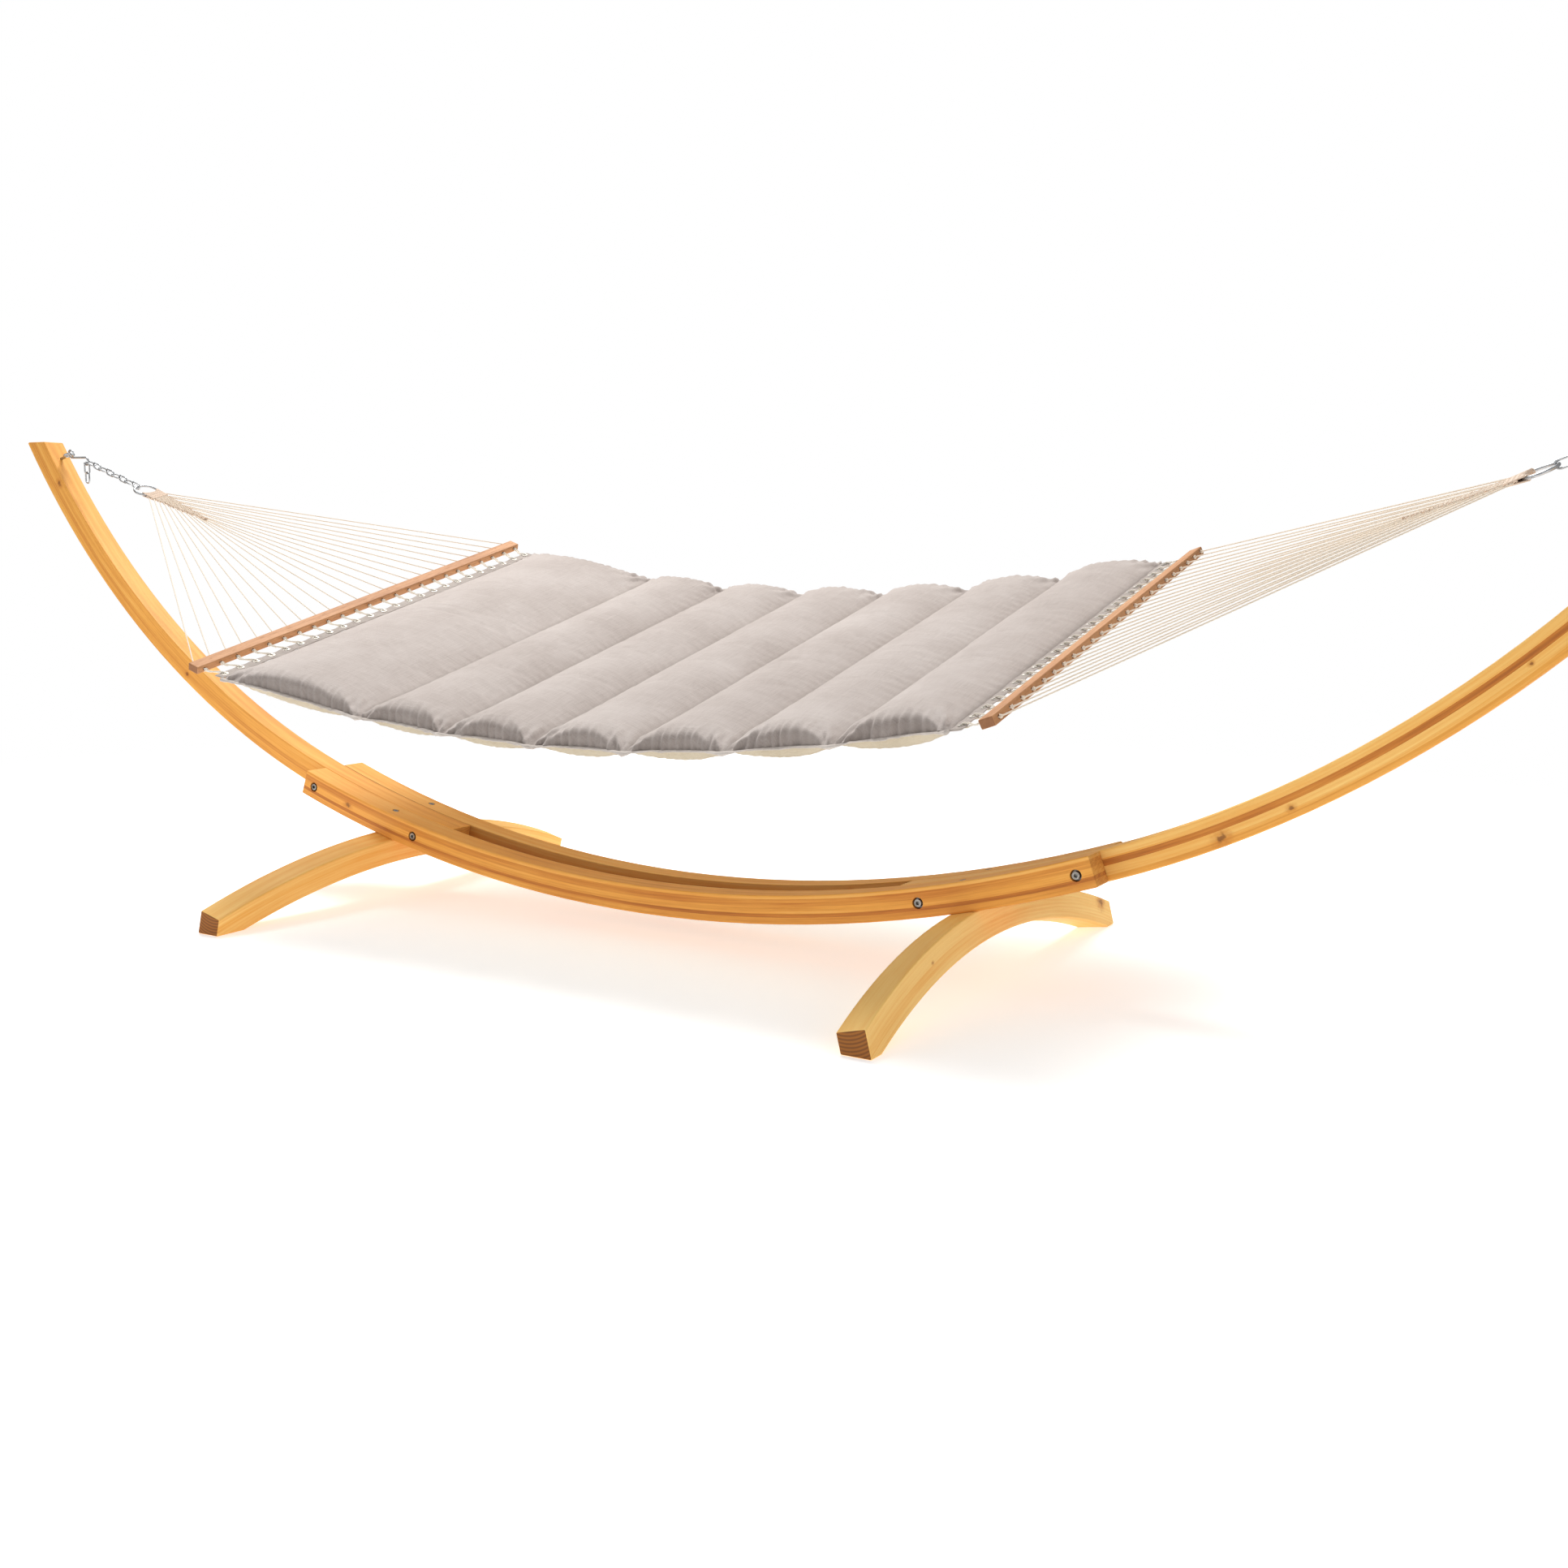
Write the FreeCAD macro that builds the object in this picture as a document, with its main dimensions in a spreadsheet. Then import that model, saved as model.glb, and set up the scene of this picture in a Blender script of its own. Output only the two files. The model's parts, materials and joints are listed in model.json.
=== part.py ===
"""Quilted hammock on a curved timber stand, as a parametric document.

Frame: +X along the stand, +Y across it, +Z up, millimetres. The origin lies on the ground, where
the stand's two planes of symmetry cross. Right-hand pieces are modelled and the left-hand ones
mirror them. Pieces of the hammock are drawn hanging straight down from the line through the two
eye bolts, and are then swung about that line by swing_set, the attitude the hammock is stored in.
"""

import FreeCAD
import Part
import math
import os

from FreeCAD import Placement, Rotation, Vector

doc = FreeCAD.newDocument("hammock_on_stand")

# ---------------------------------------------------------------- driving sizes

SIZES = {
    # stand timbers
    "base_radius": 3370,  # top face of the base rails
    "arm_radius": 2310,  # inner face of an arm above the rails
    "beam_depth": 68,
    "rail_width": 70,
    "arm_width": 68,
    "rail_gap": 58,  # ground to the lowest point of the rails
    "rail_half_angle": 19.55,
    "arm_end_angle": 11.3,  # where an arm stops between the rails
    "bend_angle": 19.8,  # where an arm starts its tighter curve
    "tip_height": 1237,
    "edge_round": 4,
    # feet
    "foot_angle": 14.3,
    "foot_half_length": 655,
    "foot_width": 66,
    "foot_depth": 70,
    "foot_end_height": 50,
    "foot_crown": 3,  # top of the foot's arch above its seat, planed off under the rails
    # horizontal bolts through rails and arms
    "inner_bolt_angle": 12.6,
    "outer_bolt_angle": 18.9,
    "arm_bolt_dia": 10,
    "arm_bolt_head_dia": 17,
    "arm_bolt_socket": 8,
    "arm_bore_dia": 26,
    "arm_bore_depth": 13,
    "arm_nut_flats": 17,
    # bolts down through rails and feet
    "foot_bolt_dia": 8,
    "foot_bolt_head_dia": 13,
    "foot_bolt_socket": 6,
    "foot_bore_dia": 18,
    "foot_bore_depth": 12,
    "foot_nut_flats": 13,
    "bolt_clearance": 0.25,
    "washer_thickness": 2,
    "bore_margin": 1,  # radial room between a washer and its counterbore
    # eye bolts
    "pivot_half_span": 2210,
    "pivot_height": 1200,
    "eye_bolt_dia": 8,
    "eye_bolt_fall": 15,  # slope of the shank, down towards the outside of the arm
    "eye_bolt_excess": 2,  # thread showing past the nut
    "eye_wire_dia": 8,
    "eye_radius": 13,
    "eye_nut_flats": 13,
    "eye_bore_dia": 24,
    "eye_bore_depth": 10,  # least depth of the flat seat under the outer face
    "eye_washer_dia": 22,
    # hooks, chains and rings
    "swing_set": 14,
    "hook_wire_dia": 6,
    "hook_loop_radius": 11,
    "hook_span": 64,
    "hook_open_angle": 45,
    "chain_wire_dia": 4.5,
    "link_inner_length": 28,
    "link_outer_width": 21,
    "chain_links": 8,
    "tail_links": 2,
    "link_play": 0.2,
    "ring_radius": 32,
    "ring_wire_dia": 7,
    # spreader bars, cords and lacing
    "bar_half_span": 1075,
    "bar_drop": 432,
    "bar_length": 1270,
    "bar_width": 32,
    "bar_thickness": 20,
    "bar_round": 2.5,
    "bar_end_margin": 22,
    "cord_count": 24,
    "cord_dia": 3.4,
    "cord_hole_dia": 8,
    "cord_lead": 7,
    "weave_length": 215,
    "weave_width": 56,
    "weave_thickness": 9,
    "weave_round": 2.25,
    "weave_tip_width": 8,
    "weave_leave_share": 0.95,  # share of the weave along which cords leave it
    "knot_dia": 11,
    "lacing_dia": 3,
    "lacing_half_height": 4.6,
    # bed
    "bed_half_span": 1020,
    "bed_end_drop": 452,
    "bed_mid_drop": 565,
    "bed_width": 1240,
    "hem_width": 30,
    "hem_thickness": 3,
    "grommet_inset": 12,
    "grommet_bore_dia": 9,
    "grommet_barrel_dia": 11,
    "grommet_flange_dia": 19,
    "grommet_flange": 0.9,
    "first_channel": 440,
    "channels": 7,
    "puff_above": 58,
    "puff_below": 32,
    "cover_thickness": 1.5,
    "fill_inset": 14,  # covers reach past the fill at the bed's two long sides
}

sizes = doc.addObject("Spreadsheet::Sheet", "sizes")
for row, (alias, value) in enumerate(SIZES.items(), start=1):
    sizes.set(f"A{row}", alias)
    sizes.set(f"B{row}", str(value))
    sizes.setAlias(f"B{row}", alias)
doc.recompute()


def size(alias):
    return float(sizes.get(alias))


# ---------------------------------------------------------------- worked-out values

LAYOUT = {
    "outer_radius": "sizes.base_radius + sizes.beam_depth",
    "bolt_radius": "sizes.base_radius + sizes.beam_depth / 2",
    "centre_height": "sizes.rail_gap + sizes.beam_depth + sizes.base_radius",
    "arm_centre_x": "(sizes.base_radius - sizes.arm_radius) * sin(sizes.bend_angle)",
    "arm_centre_z": "sizes.rail_gap + sizes.beam_depth + sizes.base_radius"
    " - (sizes.base_radius - sizes.arm_radius) * cos(sizes.bend_angle)",
    "pack_width": "sizes.arm_width + 2 * sizes.rail_width",
    "rail_offset": "(sizes.arm_width + sizes.rail_width) / 2",
    "foot_x": "(sizes.base_radius + sizes.beam_depth) * sin(sizes.foot_angle)",
    "foot_z": "sizes.rail_gap + (sizes.beam_depth + sizes.base_radius)"
    " * (1 - cos(sizes.foot_angle))",
    "foot_fall": "(sizes.rail_gap + (sizes.beam_depth + sizes.base_radius)"
    " * (1 - cos(sizes.foot_angle)) - sizes.foot_end_height) / cos(sizes.foot_angle)"
    " + sizes.foot_crown",
}
layout = doc.addObject("App::VarSet", "layout")
for name, formula in LAYOUT.items():
    layout.addProperty("App::PropertyFloat", name)
    layout.setExpression(name, formula)
layout.addProperty("App::PropertyFloat", "foot_radius")
layout.setExpression(
    "foot_radius", "(pow(sizes.foot_half_length; 2) + pow(foot_fall; 2)) / (2 * foot_fall)"
)
doc.recompute()

# ---------------------------------------------------------------- modelling helpers

EDGE_ANGLE = 20  # faces that meet at more than this many degrees form an edge to round
ROUND_SHARES = (1, 0.975, 0.95, 0.9)  # shares of the wanted rounding, tried in turn until one builds
GROUND_SIZE = 8000  # larger than the stand's footprint
REACH = 400  # longer than any thickness that a cutting tool passes through
NUT_SHARE = 0.8  # height of a nut over its bolt's diameter


def bind(item, **formulas):
    for prop, formula in formulas.items():
        item.setExpression(prop, formula)
    return item


def place(item, x="0", y="0", z="0", yaw="0", pitch="0", roll="0"):
    item.setExpression(
        "Placement",
        f"placement(vector({x}; {y}; {z}); rotation({yaw}; {pitch}; {roll}))",
    )
    return item


def cylinder(name, radius, height, **where):
    return place(bind(doc.addObject("Part::Cylinder", name), Radius=radius, Height=height), **where)


def box(name, length, width, height, **where):
    item = bind(doc.addObject("Part::Box", name), Length=length, Width=width, Height=height)
    return place(item, **where)


def prism(name, flats, height, **where):
    item = doc.addObject("Part::Prism", name)
    item.Polygon = 6
    return place(bind(item, Circumradius=f"{flats} / sqrt(3)", Height=height), **where)


def combine(kind, name, base, tool):
    item = doc.addObject(f"Part::{kind}", name)
    item.Base = base
    item.Tool = tool
    return item


def fuse(name, *items):
    item = doc.addObject("Part::MultiFuse", name)
    item.Shapes = list(items)
    item.Refine = True
    return item


def group(name, *items):
    item = doc.addObject("Part::Compound", name)
    item.Links = list(items)
    return item


def mirrored(name, source):
    item = doc.addObject("Part::Mirroring", name)
    item.Source = source
    item.Normal = Vector(1, 0, 0)
    return item


def sharp_edges(shape):
    """Numbers of the edges where two faces meet at an angle."""
    found = []
    for number, edge in enumerate(shape.Edges, start=1):
        faces = shape.ancestorsOfType(edge, Part.Face)
        if len(faces) != 2:
            continue
        point = edge.valueAt((edge.FirstParameter + edge.LastParameter) / 2)
        normals = [face.normalAt(*face.Surface.parameter(point)) for face in faces]
        if math.degrees(normals[0].getAngle(normals[1])) > EDGE_ANGLE:
            found.append(number)
    return found


def rounded(name, base, radius):
    """The base with all its sharp edges rounded, a touch less where the full radius fails to build."""
    doc.recompute()
    item = doc.addObject("Part::Fillet", name)
    item.Base = base
    edges = sharp_edges(base.Shape)
    for share in ROUND_SHARES:
        item.Edges = [(number, share * radius, share * radius) for number in edges]
        doc.recompute()
        if not item.Shape.isNull() and item.Shape.isValid():
            break
    return item


def ring_sector(name, inner, outer, width, start, sweep, x, z):
    """A curved beam about an axis along Y, from angle start through sweep, both from straight down."""
    where = {"x": x, "z": z, "roll": "90", "pitch": f"90 - ({start})", "y": f"({width}) / 2"}
    solid = cylinder(f"{name}_outer", outer, width, **where)
    bind(solid, Angle=sweep)
    hollow = cylinder(f"{name}_inner", inner, width, **where)
    return combine("Cut", f"{name}_sector", solid, hollow)


def code_made(name, shape, placement=None):
    item = doc.addObject("Part::Feature", name)
    item.Shape = shape
    if placement:
        item.Placement = placement
    return item


# ---------------------------------------------------------------- bolts

ARM_BOLT_ANGLES = ("sizes.inner_bolt_angle", "sizes.outer_bolt_angle")
RAIL_SIDES = {"front": "-1", "rear": "1"}


def arm_bolt_station(angle):
    """Where a horizontal bolt enters the front rail; local +Z points along the bolt, to the rear."""
    return {
        "x": f"layout.bolt_radius * sin({angle})",
        "y": "-layout.pack_width / 2",
        "z": f"layout.centre_height - layout.bolt_radius * cos({angle})",
        "roll": "-90",
    }


def foot_bolt_station(side):
    """Where a foot bolt enters the top of a rail; local +Z points down, square to the rail."""
    return {
        "x": "sizes.base_radius * sin(sizes.foot_angle)",
        "y": f"{side} * layout.rail_offset",
        "z": "layout.centre_height - sizes.base_radius * cos(sizes.foot_angle)",
        "pitch": "180 - sizes.foot_angle",
    }


ARM_BOLT = {
    "dia": "sizes.arm_bolt_dia",
    "head": "sizes.arm_bolt_head_dia",
    "socket": "sizes.arm_bolt_socket",
    "bore": "sizes.arm_bore_dia",
    "depth": "sizes.arm_bore_depth",
    "flats": "sizes.arm_nut_flats",
    "grip": "layout.pack_width",
}
FOOT_BOLT = {
    "dia": "sizes.foot_bolt_dia",
    "head": "sizes.foot_bolt_head_dia",
    "socket": "sizes.foot_bolt_socket",
    "bore": "sizes.foot_bore_dia",
    "depth": "sizes.foot_bore_depth",
    "flats": "sizes.foot_nut_flats",
    "grip": "(sizes.beam_depth + sizes.foot_depth - sizes.foot_crown)",
}


def bolt_hole(name, spec, station):
    """The room for one bolt: its hole and the counterbores at its two ends."""
    hole = cylinder(
        f"{name}_through", f"{spec['dia']} / 2 + sizes.bolt_clearance", f"{spec['grip']} + {REACH}",
        z=f"-{REACH} / 2",
    )
    near = cylinder(f"{name}_near", f"{spec['bore']} / 2", f"{spec['depth']} + {REACH} / 4",
                    z=f"-{REACH} / 4")
    far = cylinder(f"{name}_far", f"{spec['bore']} / 2", f"{spec['depth']} + {REACH} / 4",
                   z=f"{spec['grip']} - {spec['depth']}")
    return place(fuse(f"{name}_room", hole, near, far), **station)


def bolt_set(name, spec, station):
    """A socket-head bolt with two washers and a nut, recessed at both ends of its grip."""
    seat = f"({spec['depth']} - sizes.washer_thickness)"
    end = f"({spec['grip']} - {spec['depth']} + sizes.washer_thickness)"
    nut_height = f"{NUT_SHARE} * {spec['dia']}"
    head = cylinder(f"{name}_head", f"{spec['head']} / 2", seat)
    shank = cylinder(f"{name}_shank", f"{spec['dia']} / 2", f"{end} + {nut_height} - {seat}", z=seat)
    socket = prism(f"{name}_socket", spec["socket"], f"{seat} / 2")
    bolt = combine("Cut", f"{name}_bolt", fuse(f"{name}_blank", head, shank), socket)
    place(bolt, **station)
    washers = []
    for label, level in (("near", seat), ("far", f"({end} - sizes.washer_thickness)")):
        disc = cylinder(f"{name}_{label}_disc", f"{spec['bore']} / 2 - sizes.bore_margin",
                        "sizes.washer_thickness", z=level)
        hole = cylinder(f"{name}_{label}_hole", f"{spec['dia']} / 2 + sizes.bolt_clearance / 2",
                        f"{REACH}", z=f"{level} - {REACH} / 2")
        washers.append(place(combine("Cut", f"{name}_{label}_washer", disc, hole), **station))
    blank = prism(f"{name}_nut_blank", spec["flats"], nut_height, z=end)
    thread = cylinder(f"{name}_thread", f"{spec['dia']} / 2", f"{REACH}", z=f"{end} - {REACH} / 2")
    nut = place(combine("Cut", f"{name}_nut", blank, thread), **station)
    return bolt, washers, nut


arm_bolt_rooms = [
    bolt_hole(f"arm_bolt_{i}", ARM_BOLT, arm_bolt_station(angle))
    for i, angle in enumerate(ARM_BOLT_ANGLES)
]
foot_bolt_rooms = {
    label: bolt_hole(f"foot_bolt_{label}", FOOT_BOLT, foot_bolt_station(side))
    for label, side in RAIL_SIDES.items()
}

nodes = {}


def fastener_nodes(side_name, sets):
    """One node each for the bolts, washers and nuts of a joint."""
    bolts, washers, nuts = zip(*sets)
    nodes[f"right_{side_name}_bolts"] = group(f"right_{side_name}_bolts", *bolts)
    every_washer = [washer for pair in washers for washer in pair]
    nodes[f"right_{side_name}_washers"] = group(f"right_{side_name}_washers", *every_washer)
    nodes[f"right_{side_name}_nuts"] = group(f"right_{side_name}_nuts", *nuts)


fastener_nodes("arm", [
    bolt_set(f"arm_set_{i}", ARM_BOLT, arm_bolt_station(angle))
    for i, angle in enumerate(ARM_BOLT_ANGLES)
])
fastener_nodes("foot", [
    bolt_set(f"foot_set_{label}", FOOT_BOLT, foot_bolt_station(side))
    for label, side in RAIL_SIDES.items()
])

# ---------------------------------------------------------------- base rails

for label, side in RAIL_SIDES.items():
    blank = ring_sector(
        f"{label}_rail", "sizes.base_radius", "layout.outer_radius", "sizes.rail_width",
        "-sizes.rail_half_angle", "2 * sizes.rail_half_angle", "0", "layout.centre_height",
    )
    place(blank, y=f"{side} * layout.rail_offset")
    smooth = rounded(f"{label}_rail_rounded", blank, size("edge_round"))
    right_rooms = [*arm_bolt_rooms, foot_bolt_rooms[label]]
    left_rooms = [mirrored(f"{label}_{room.Name}_left", room) for room in right_rooms]
    rooms = group(f"{label}_rail_rooms", *right_rooms, *left_rooms)
    nodes[f"{label}_rail"] = combine("Cut", f"{label}_rail", smooth, rooms)

# ---------------------------------------------------------------- arms and eye bolts

EYE_STATION = {
    "x": "sizes.pivot_half_span",
    "z": "sizes.pivot_height",
    "pitch": "90 + sizes.eye_bolt_fall",
}

lower_arm = ring_sector(
    "lower_arm", "sizes.base_radius", "layout.outer_radius", "sizes.arm_width",
    "sizes.arm_end_angle", "sizes.bend_angle - sizes.arm_end_angle", "0", "layout.centre_height",
)
upper_arm = ring_sector(
    "upper_arm", "sizes.arm_radius", "sizes.arm_radius + sizes.beam_depth", "sizes.arm_width",
    "sizes.bend_angle", "90 - sizes.bend_angle", "layout.arm_centre_x", "layout.arm_centre_z",
)
above = box("above_tip", f"{GROUND_SIZE}", f"{GROUND_SIZE}", f"{GROUND_SIZE}",
            x=f"-{GROUND_SIZE} / 2", y=f"-{GROUND_SIZE} / 2", z="sizes.tip_height")
arm_blank = combine("Cut", "arm_blank", fuse("arm_beam", lower_arm, upper_arm), above)
arm_smooth = rounded("arm_rounded", arm_blank, size("edge_round"))


def eye_depths():
    """Along the shank, from the pivot: where it meets the arm's inner face and its outer face."""
    fall = math.radians(size("eye_bolt_fall"))
    along = Vector(math.cos(fall), 0, -math.sin(fall))
    start = Vector(size("pivot_half_span"), 0, size("pivot_height"))
    centre = Vector(layout.arm_centre_x, 0, layout.arm_centre_z)
    offset = start - centre
    half_b = offset.dot(along)
    depths = []
    for radius in (size("arm_radius"), size("arm_radius") + size("beam_depth")):
        depths.append(-half_b + math.sqrt(half_b**2 - offset.dot(offset) + radius**2))
    return depths


layout.addProperty("App::PropertyFloat", "eye_outer_depth")
layout.eye_outer_depth = eye_depths()[1]
layout.addProperty("App::PropertyFloat", "eye_seat_depth")
layout.setExpression(
    "eye_seat_depth",
    "eye_outer_depth - sizes.eye_bore_depth - sizes.eye_bore_dia / 2",
)
doc.recompute()

eye_hole = cylinder("eye_hole", "sizes.eye_bolt_dia / 2 + sizes.bolt_clearance", f"{REACH}")
eye_bore = cylinder("eye_bore", "sizes.eye_bore_dia / 2", f"{REACH}", z="layout.eye_seat_depth")
eye_room = place(fuse("eye_room", eye_hole, eye_bore), **EYE_STATION)
arm_rooms = group("arm_rooms", *arm_bolt_rooms, eye_room)
nodes["right_arm"] = combine("Cut", "right_arm", arm_smooth, arm_rooms)

# The eye lies flat, and the pivot is the middle of its wire on the hammock's side.
eye = bind(doc.addObject("Part::Torus", "eye_loop"), Radius1="sizes.eye_radius",
           Radius2="sizes.eye_wire_dia / 2")
place(eye, z="sizes.eye_radius", pitch="90")
eye_nut_height = f"{NUT_SHARE} * sizes.eye_bolt_dia"
eye_shank = cylinder(
    "eye_shank", "sizes.eye_bolt_dia / 2",
    f"layout.eye_seat_depth + sizes.washer_thickness + {eye_nut_height} + sizes.eye_bolt_excess"
    " - 2 * sizes.eye_radius",
    z="2 * sizes.eye_radius",
)
nodes["right_eye_bolt"] = place(fuse("right_eye_bolt", eye, eye_shank), **EYE_STATION)
disc = cylinder("eye_washer_disc", "sizes.eye_washer_dia / 2", "sizes.washer_thickness",
                z="layout.eye_seat_depth")
disc_hole = cylinder("eye_washer_hole", "sizes.eye_bolt_dia / 2 + sizes.bolt_clearance / 2",
                     f"2 * {REACH}")
nodes["right_eye_washer"] = place(combine("Cut", "right_eye_washer", disc, disc_hole), **EYE_STATION)
nut_blank = prism("eye_nut_blank", "sizes.eye_nut_flats", eye_nut_height,
                  z="layout.eye_seat_depth + sizes.washer_thickness")
nut_thread = cylinder("eye_nut_thread", "sizes.eye_bolt_dia / 2", f"2 * {REACH}")
nodes["right_eye_nut"] = place(combine("Cut", "right_eye_nut", nut_blank, nut_thread), **EYE_STATION)

# ---------------------------------------------------------------- feet

foot_where = {"z": "sizes.foot_crown - layout.foot_radius", "pitch": "90",
              "x": "-sizes.foot_width / 2"}
foot_top = cylinder("foot_top", "layout.foot_radius", "sizes.foot_width", **foot_where)
foot_arch = cylinder("foot_arch", "layout.foot_radius - sizes.foot_depth", "sizes.foot_width",
                     **foot_where)
foot_ring = combine("Cut", "foot_ring", foot_top, foot_arch)
foot_trim = box("foot_trim", "2 * sizes.foot_width", "2 * sizes.foot_half_length",
                f"{REACH}", x="-sizes.foot_width", y="-sizes.foot_half_length", z=f"-{REACH}")
foot_beam = combine("Common", "foot_beam", foot_ring, foot_trim)
place(foot_beam, x="layout.foot_x", z="layout.foot_z", pitch="-sizes.foot_angle")
ground = box("ground", f"{GROUND_SIZE}", f"{GROUND_SIZE}", f"{GROUND_SIZE}",
             x=f"-{GROUND_SIZE} / 2", y=f"-{GROUND_SIZE} / 2", z=f"-{GROUND_SIZE}")
foot_cut = combine("Cut", "foot_cut", foot_beam, ground)
foot_smooth = rounded("foot_rounded", foot_cut, size("edge_round"))
foot_rooms = group("foot_rooms", *foot_bolt_rooms.values())
nodes["right_foot"] = combine("Cut", "right_foot", foot_smooth, foot_rooms)

# ---------------------------------------------------------------- hammock: suspension line

pivot = Vector(size("pivot_half_span"), 0, 0)
bar_centre = Vector(size("bar_half_span"), 0, -size("bar_drop"))
ALONG = (bar_centre - pivot).normalize()
ACROSS = Vector(0, 1, 0)
UP = ALONG.cross(ACROSS)
if UP.z < 0:
    UP = UP * -1
SWUNG = Placement(Vector(0, 0, size("pivot_height")),
                  Rotation(Vector(1, 0, 0), size("swing_set")))


def on_line(distance, across=0.0, up=0.0):
    """A point at that distance from the pivot along the line to the bar, plus offsets."""
    return pivot + ALONG * distance + ACROSS * across + UP * up


def rod(start, end, radius):
    return Part.makeCylinder(radius, start.distanceToPoint(end), start, end - start)


def piped(edges, radius):
    """A round wire along a chain of edges, cut square at its ends."""
    path = Part.Wire(edges)
    start = path.Edges[0]
    point = start.valueAt(start.FirstParameter)
    direction = start.tangentAt(start.FirstParameter)
    section = Part.Wire(Part.makeCircle(radius, point, direction))
    return path.makePipeShell([section], True, True)


def arc_edge(centre, radius, first, last, side=None):
    """An arc in the plane of the line and UP (or side), angles in degrees from the line."""
    side = side or UP
    angles = [math.radians(first + (last - first) * part) for part in (0, 0.5, 1)]
    points = [centre + ALONG * (radius * math.cos(a)) + side * (radius * math.sin(a)) for a in angles]
    return Part.Arc(*points).toShape()


# ---------------------------------------------------------------- hooks, chains, rings

hook_radius = size("hook_loop_radius")
hook_span = size("hook_span")
lean = math.degrees(math.asin(2 * hook_radius / hook_span))
near_end = on_line(0)
far_end = on_line(hook_span)
near_arc = arc_edge(near_end, hook_radius, size("hook_open_angle"), 270 + lean)
far_arc = arc_edge(far_end, hook_radius, 90 + lean, size("hook_open_angle") - 180)
between = Part.LineSegment(
    near_arc.valueAt(near_arc.LastParameter), far_arc.valueAt(far_arc.FirstParameter)
).toShape()
hook_shape = piped([near_arc, between, far_arc], size("hook_wire_dia") / 2)
nodes["right_hook"] = code_made("right_hook", hook_shape, SWUNG)

wire = size("chain_wire_dia")
play = size("link_play")
link_half = (size("link_outer_width") - wire) / 2
link_length = size("link_inner_length") + wire  # between the middles of its two end bows


def link(middle, along, side):
    """One chain link: a closed wire of two bows and two straight sides."""
    reach = link_length / 2 - link_half
    corners = {}
    for end in (-1, 1):
        centre = middle + along * (end * reach)
        corners[end] = (
            centre + side * link_half, centre + along * (end * link_half), centre - side * link_half
        )
    edges = [
        Part.Arc(*corners[1]).toShape(),
        Part.LineSegment(corners[1][2], corners[-1][2]).toShape(),
        Part.Arc(*reversed(corners[-1])).toShape(),
        Part.LineSegment(corners[-1][0], corners[1][0]).toShape(),
    ]
    section = Part.Wire(Part.makeCircle(wire / 2, corners[1][0], along))
    return Part.Wire(edges).makePipeShell([section], True, True)


first_bow = hook_span + hook_radius - size("hook_wire_dia") / 2 - wire / 2 - play
link_step = size("link_inner_length") - play
links = []
for number in range(int(size("chain_links"))):
    middle = on_line(first_bow + link_length / 2 + number * link_step)
    links.append(link(middle, ALONG, ACROSS if number % 2 == 0 else UP))
nodes["right_chain"] = code_made("right_chain", Part.makeCompound(links), SWUNG)

last_bow = first_bow + (size("chain_links") - 1) * link_step + link_length
ring_near = last_bow - wire / 2 - size("ring_wire_dia") / 2 - play
ring_at = ring_near + size("ring_radius")
ring_shape = Part.makeTorus(size("ring_radius"), size("ring_wire_dia") / 2, on_line(ring_at), UP)
nodes["right_ring"] = code_made("right_ring", ring_shape, SWUNG)

# The loose tail of the chain hangs straight down from the lowest point of the hook's far loop.
swing = Rotation(Vector(1, 0, 0), size("swing_set"))
plumb = swing.inverted().multVec(Vector(0, 0, -1))
flat_plumb = Vector(plumb.x, 0, plumb.z).normalize()
hook_low = far_end + flat_plumb * hook_radius
tail_anchor = SWUNG.multVec(hook_low)
print("chain tail hangs from", [round(value, 2) for value in tail_anchor])
down = Vector(0, 0, -1)
tail = []
tail_top = -size("hook_wire_dia") / 2 - wire / 2 - play
for number in range(int(size("tail_links"))):
    middle = tail_anchor + down * (tail_top + link_length / 2 + number * link_step)
    tail.append(link(middle, down, ACROSS if number % 2 == 0 else Vector(1, 0, 0)))
nodes["right_chain_tail"] = code_made("right_chain_tail", Part.makeCompound(tail))

# ---------------------------------------------------------------- spreader bars

bar_distance = (bar_centre - pivot).Length
cord_pitch = (size("bar_length") - 2 * size("bar_end_margin")) / (size("cord_count") - 1)
cord_levels = [
    (number - (size("cord_count") - 1) / 2) * cord_pitch
    for number in range(int(size("cord_count")))
]
BAR_SLOPE = math.degrees(math.atan2(-ALONG.z, -ALONG.x))
bar_turn = Placement(bar_centre, Rotation(Vector(0, 1, 0), -BAR_SLOPE))
bar_box = doc.addObject("Part::Box", "bar_box")
bind(bar_box, Length="sizes.bar_width", Width="sizes.bar_length", Height="sizes.bar_thickness")
bar_middle = Vector(-size("bar_width") / 2, -size("bar_length") / 2, -size("bar_thickness") / 2)
bar_box.Placement = SWUNG.multiply(bar_turn).multiply(Placement(bar_middle, Rotation()))
bar_smooth = rounded("bar_rounded", bar_box, size("bar_round"))
cord_holes = []
for level in cord_levels:
    start = on_line(bar_distance - size("bar_width"), level)
    end = on_line(bar_distance + size("bar_width"), level)
    cord_holes.append(rod(start, end, size("cord_hole_dia") / 2))
bar_drill = code_made("bar_drill", Part.makeCompound(cord_holes), SWUNG)
nodes["right_spreader_bar"] = combine("Cut", "right_spreader_bar", bar_smooth, bar_drill)

# ---------------------------------------------------------------- woven clew and its cords

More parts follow.
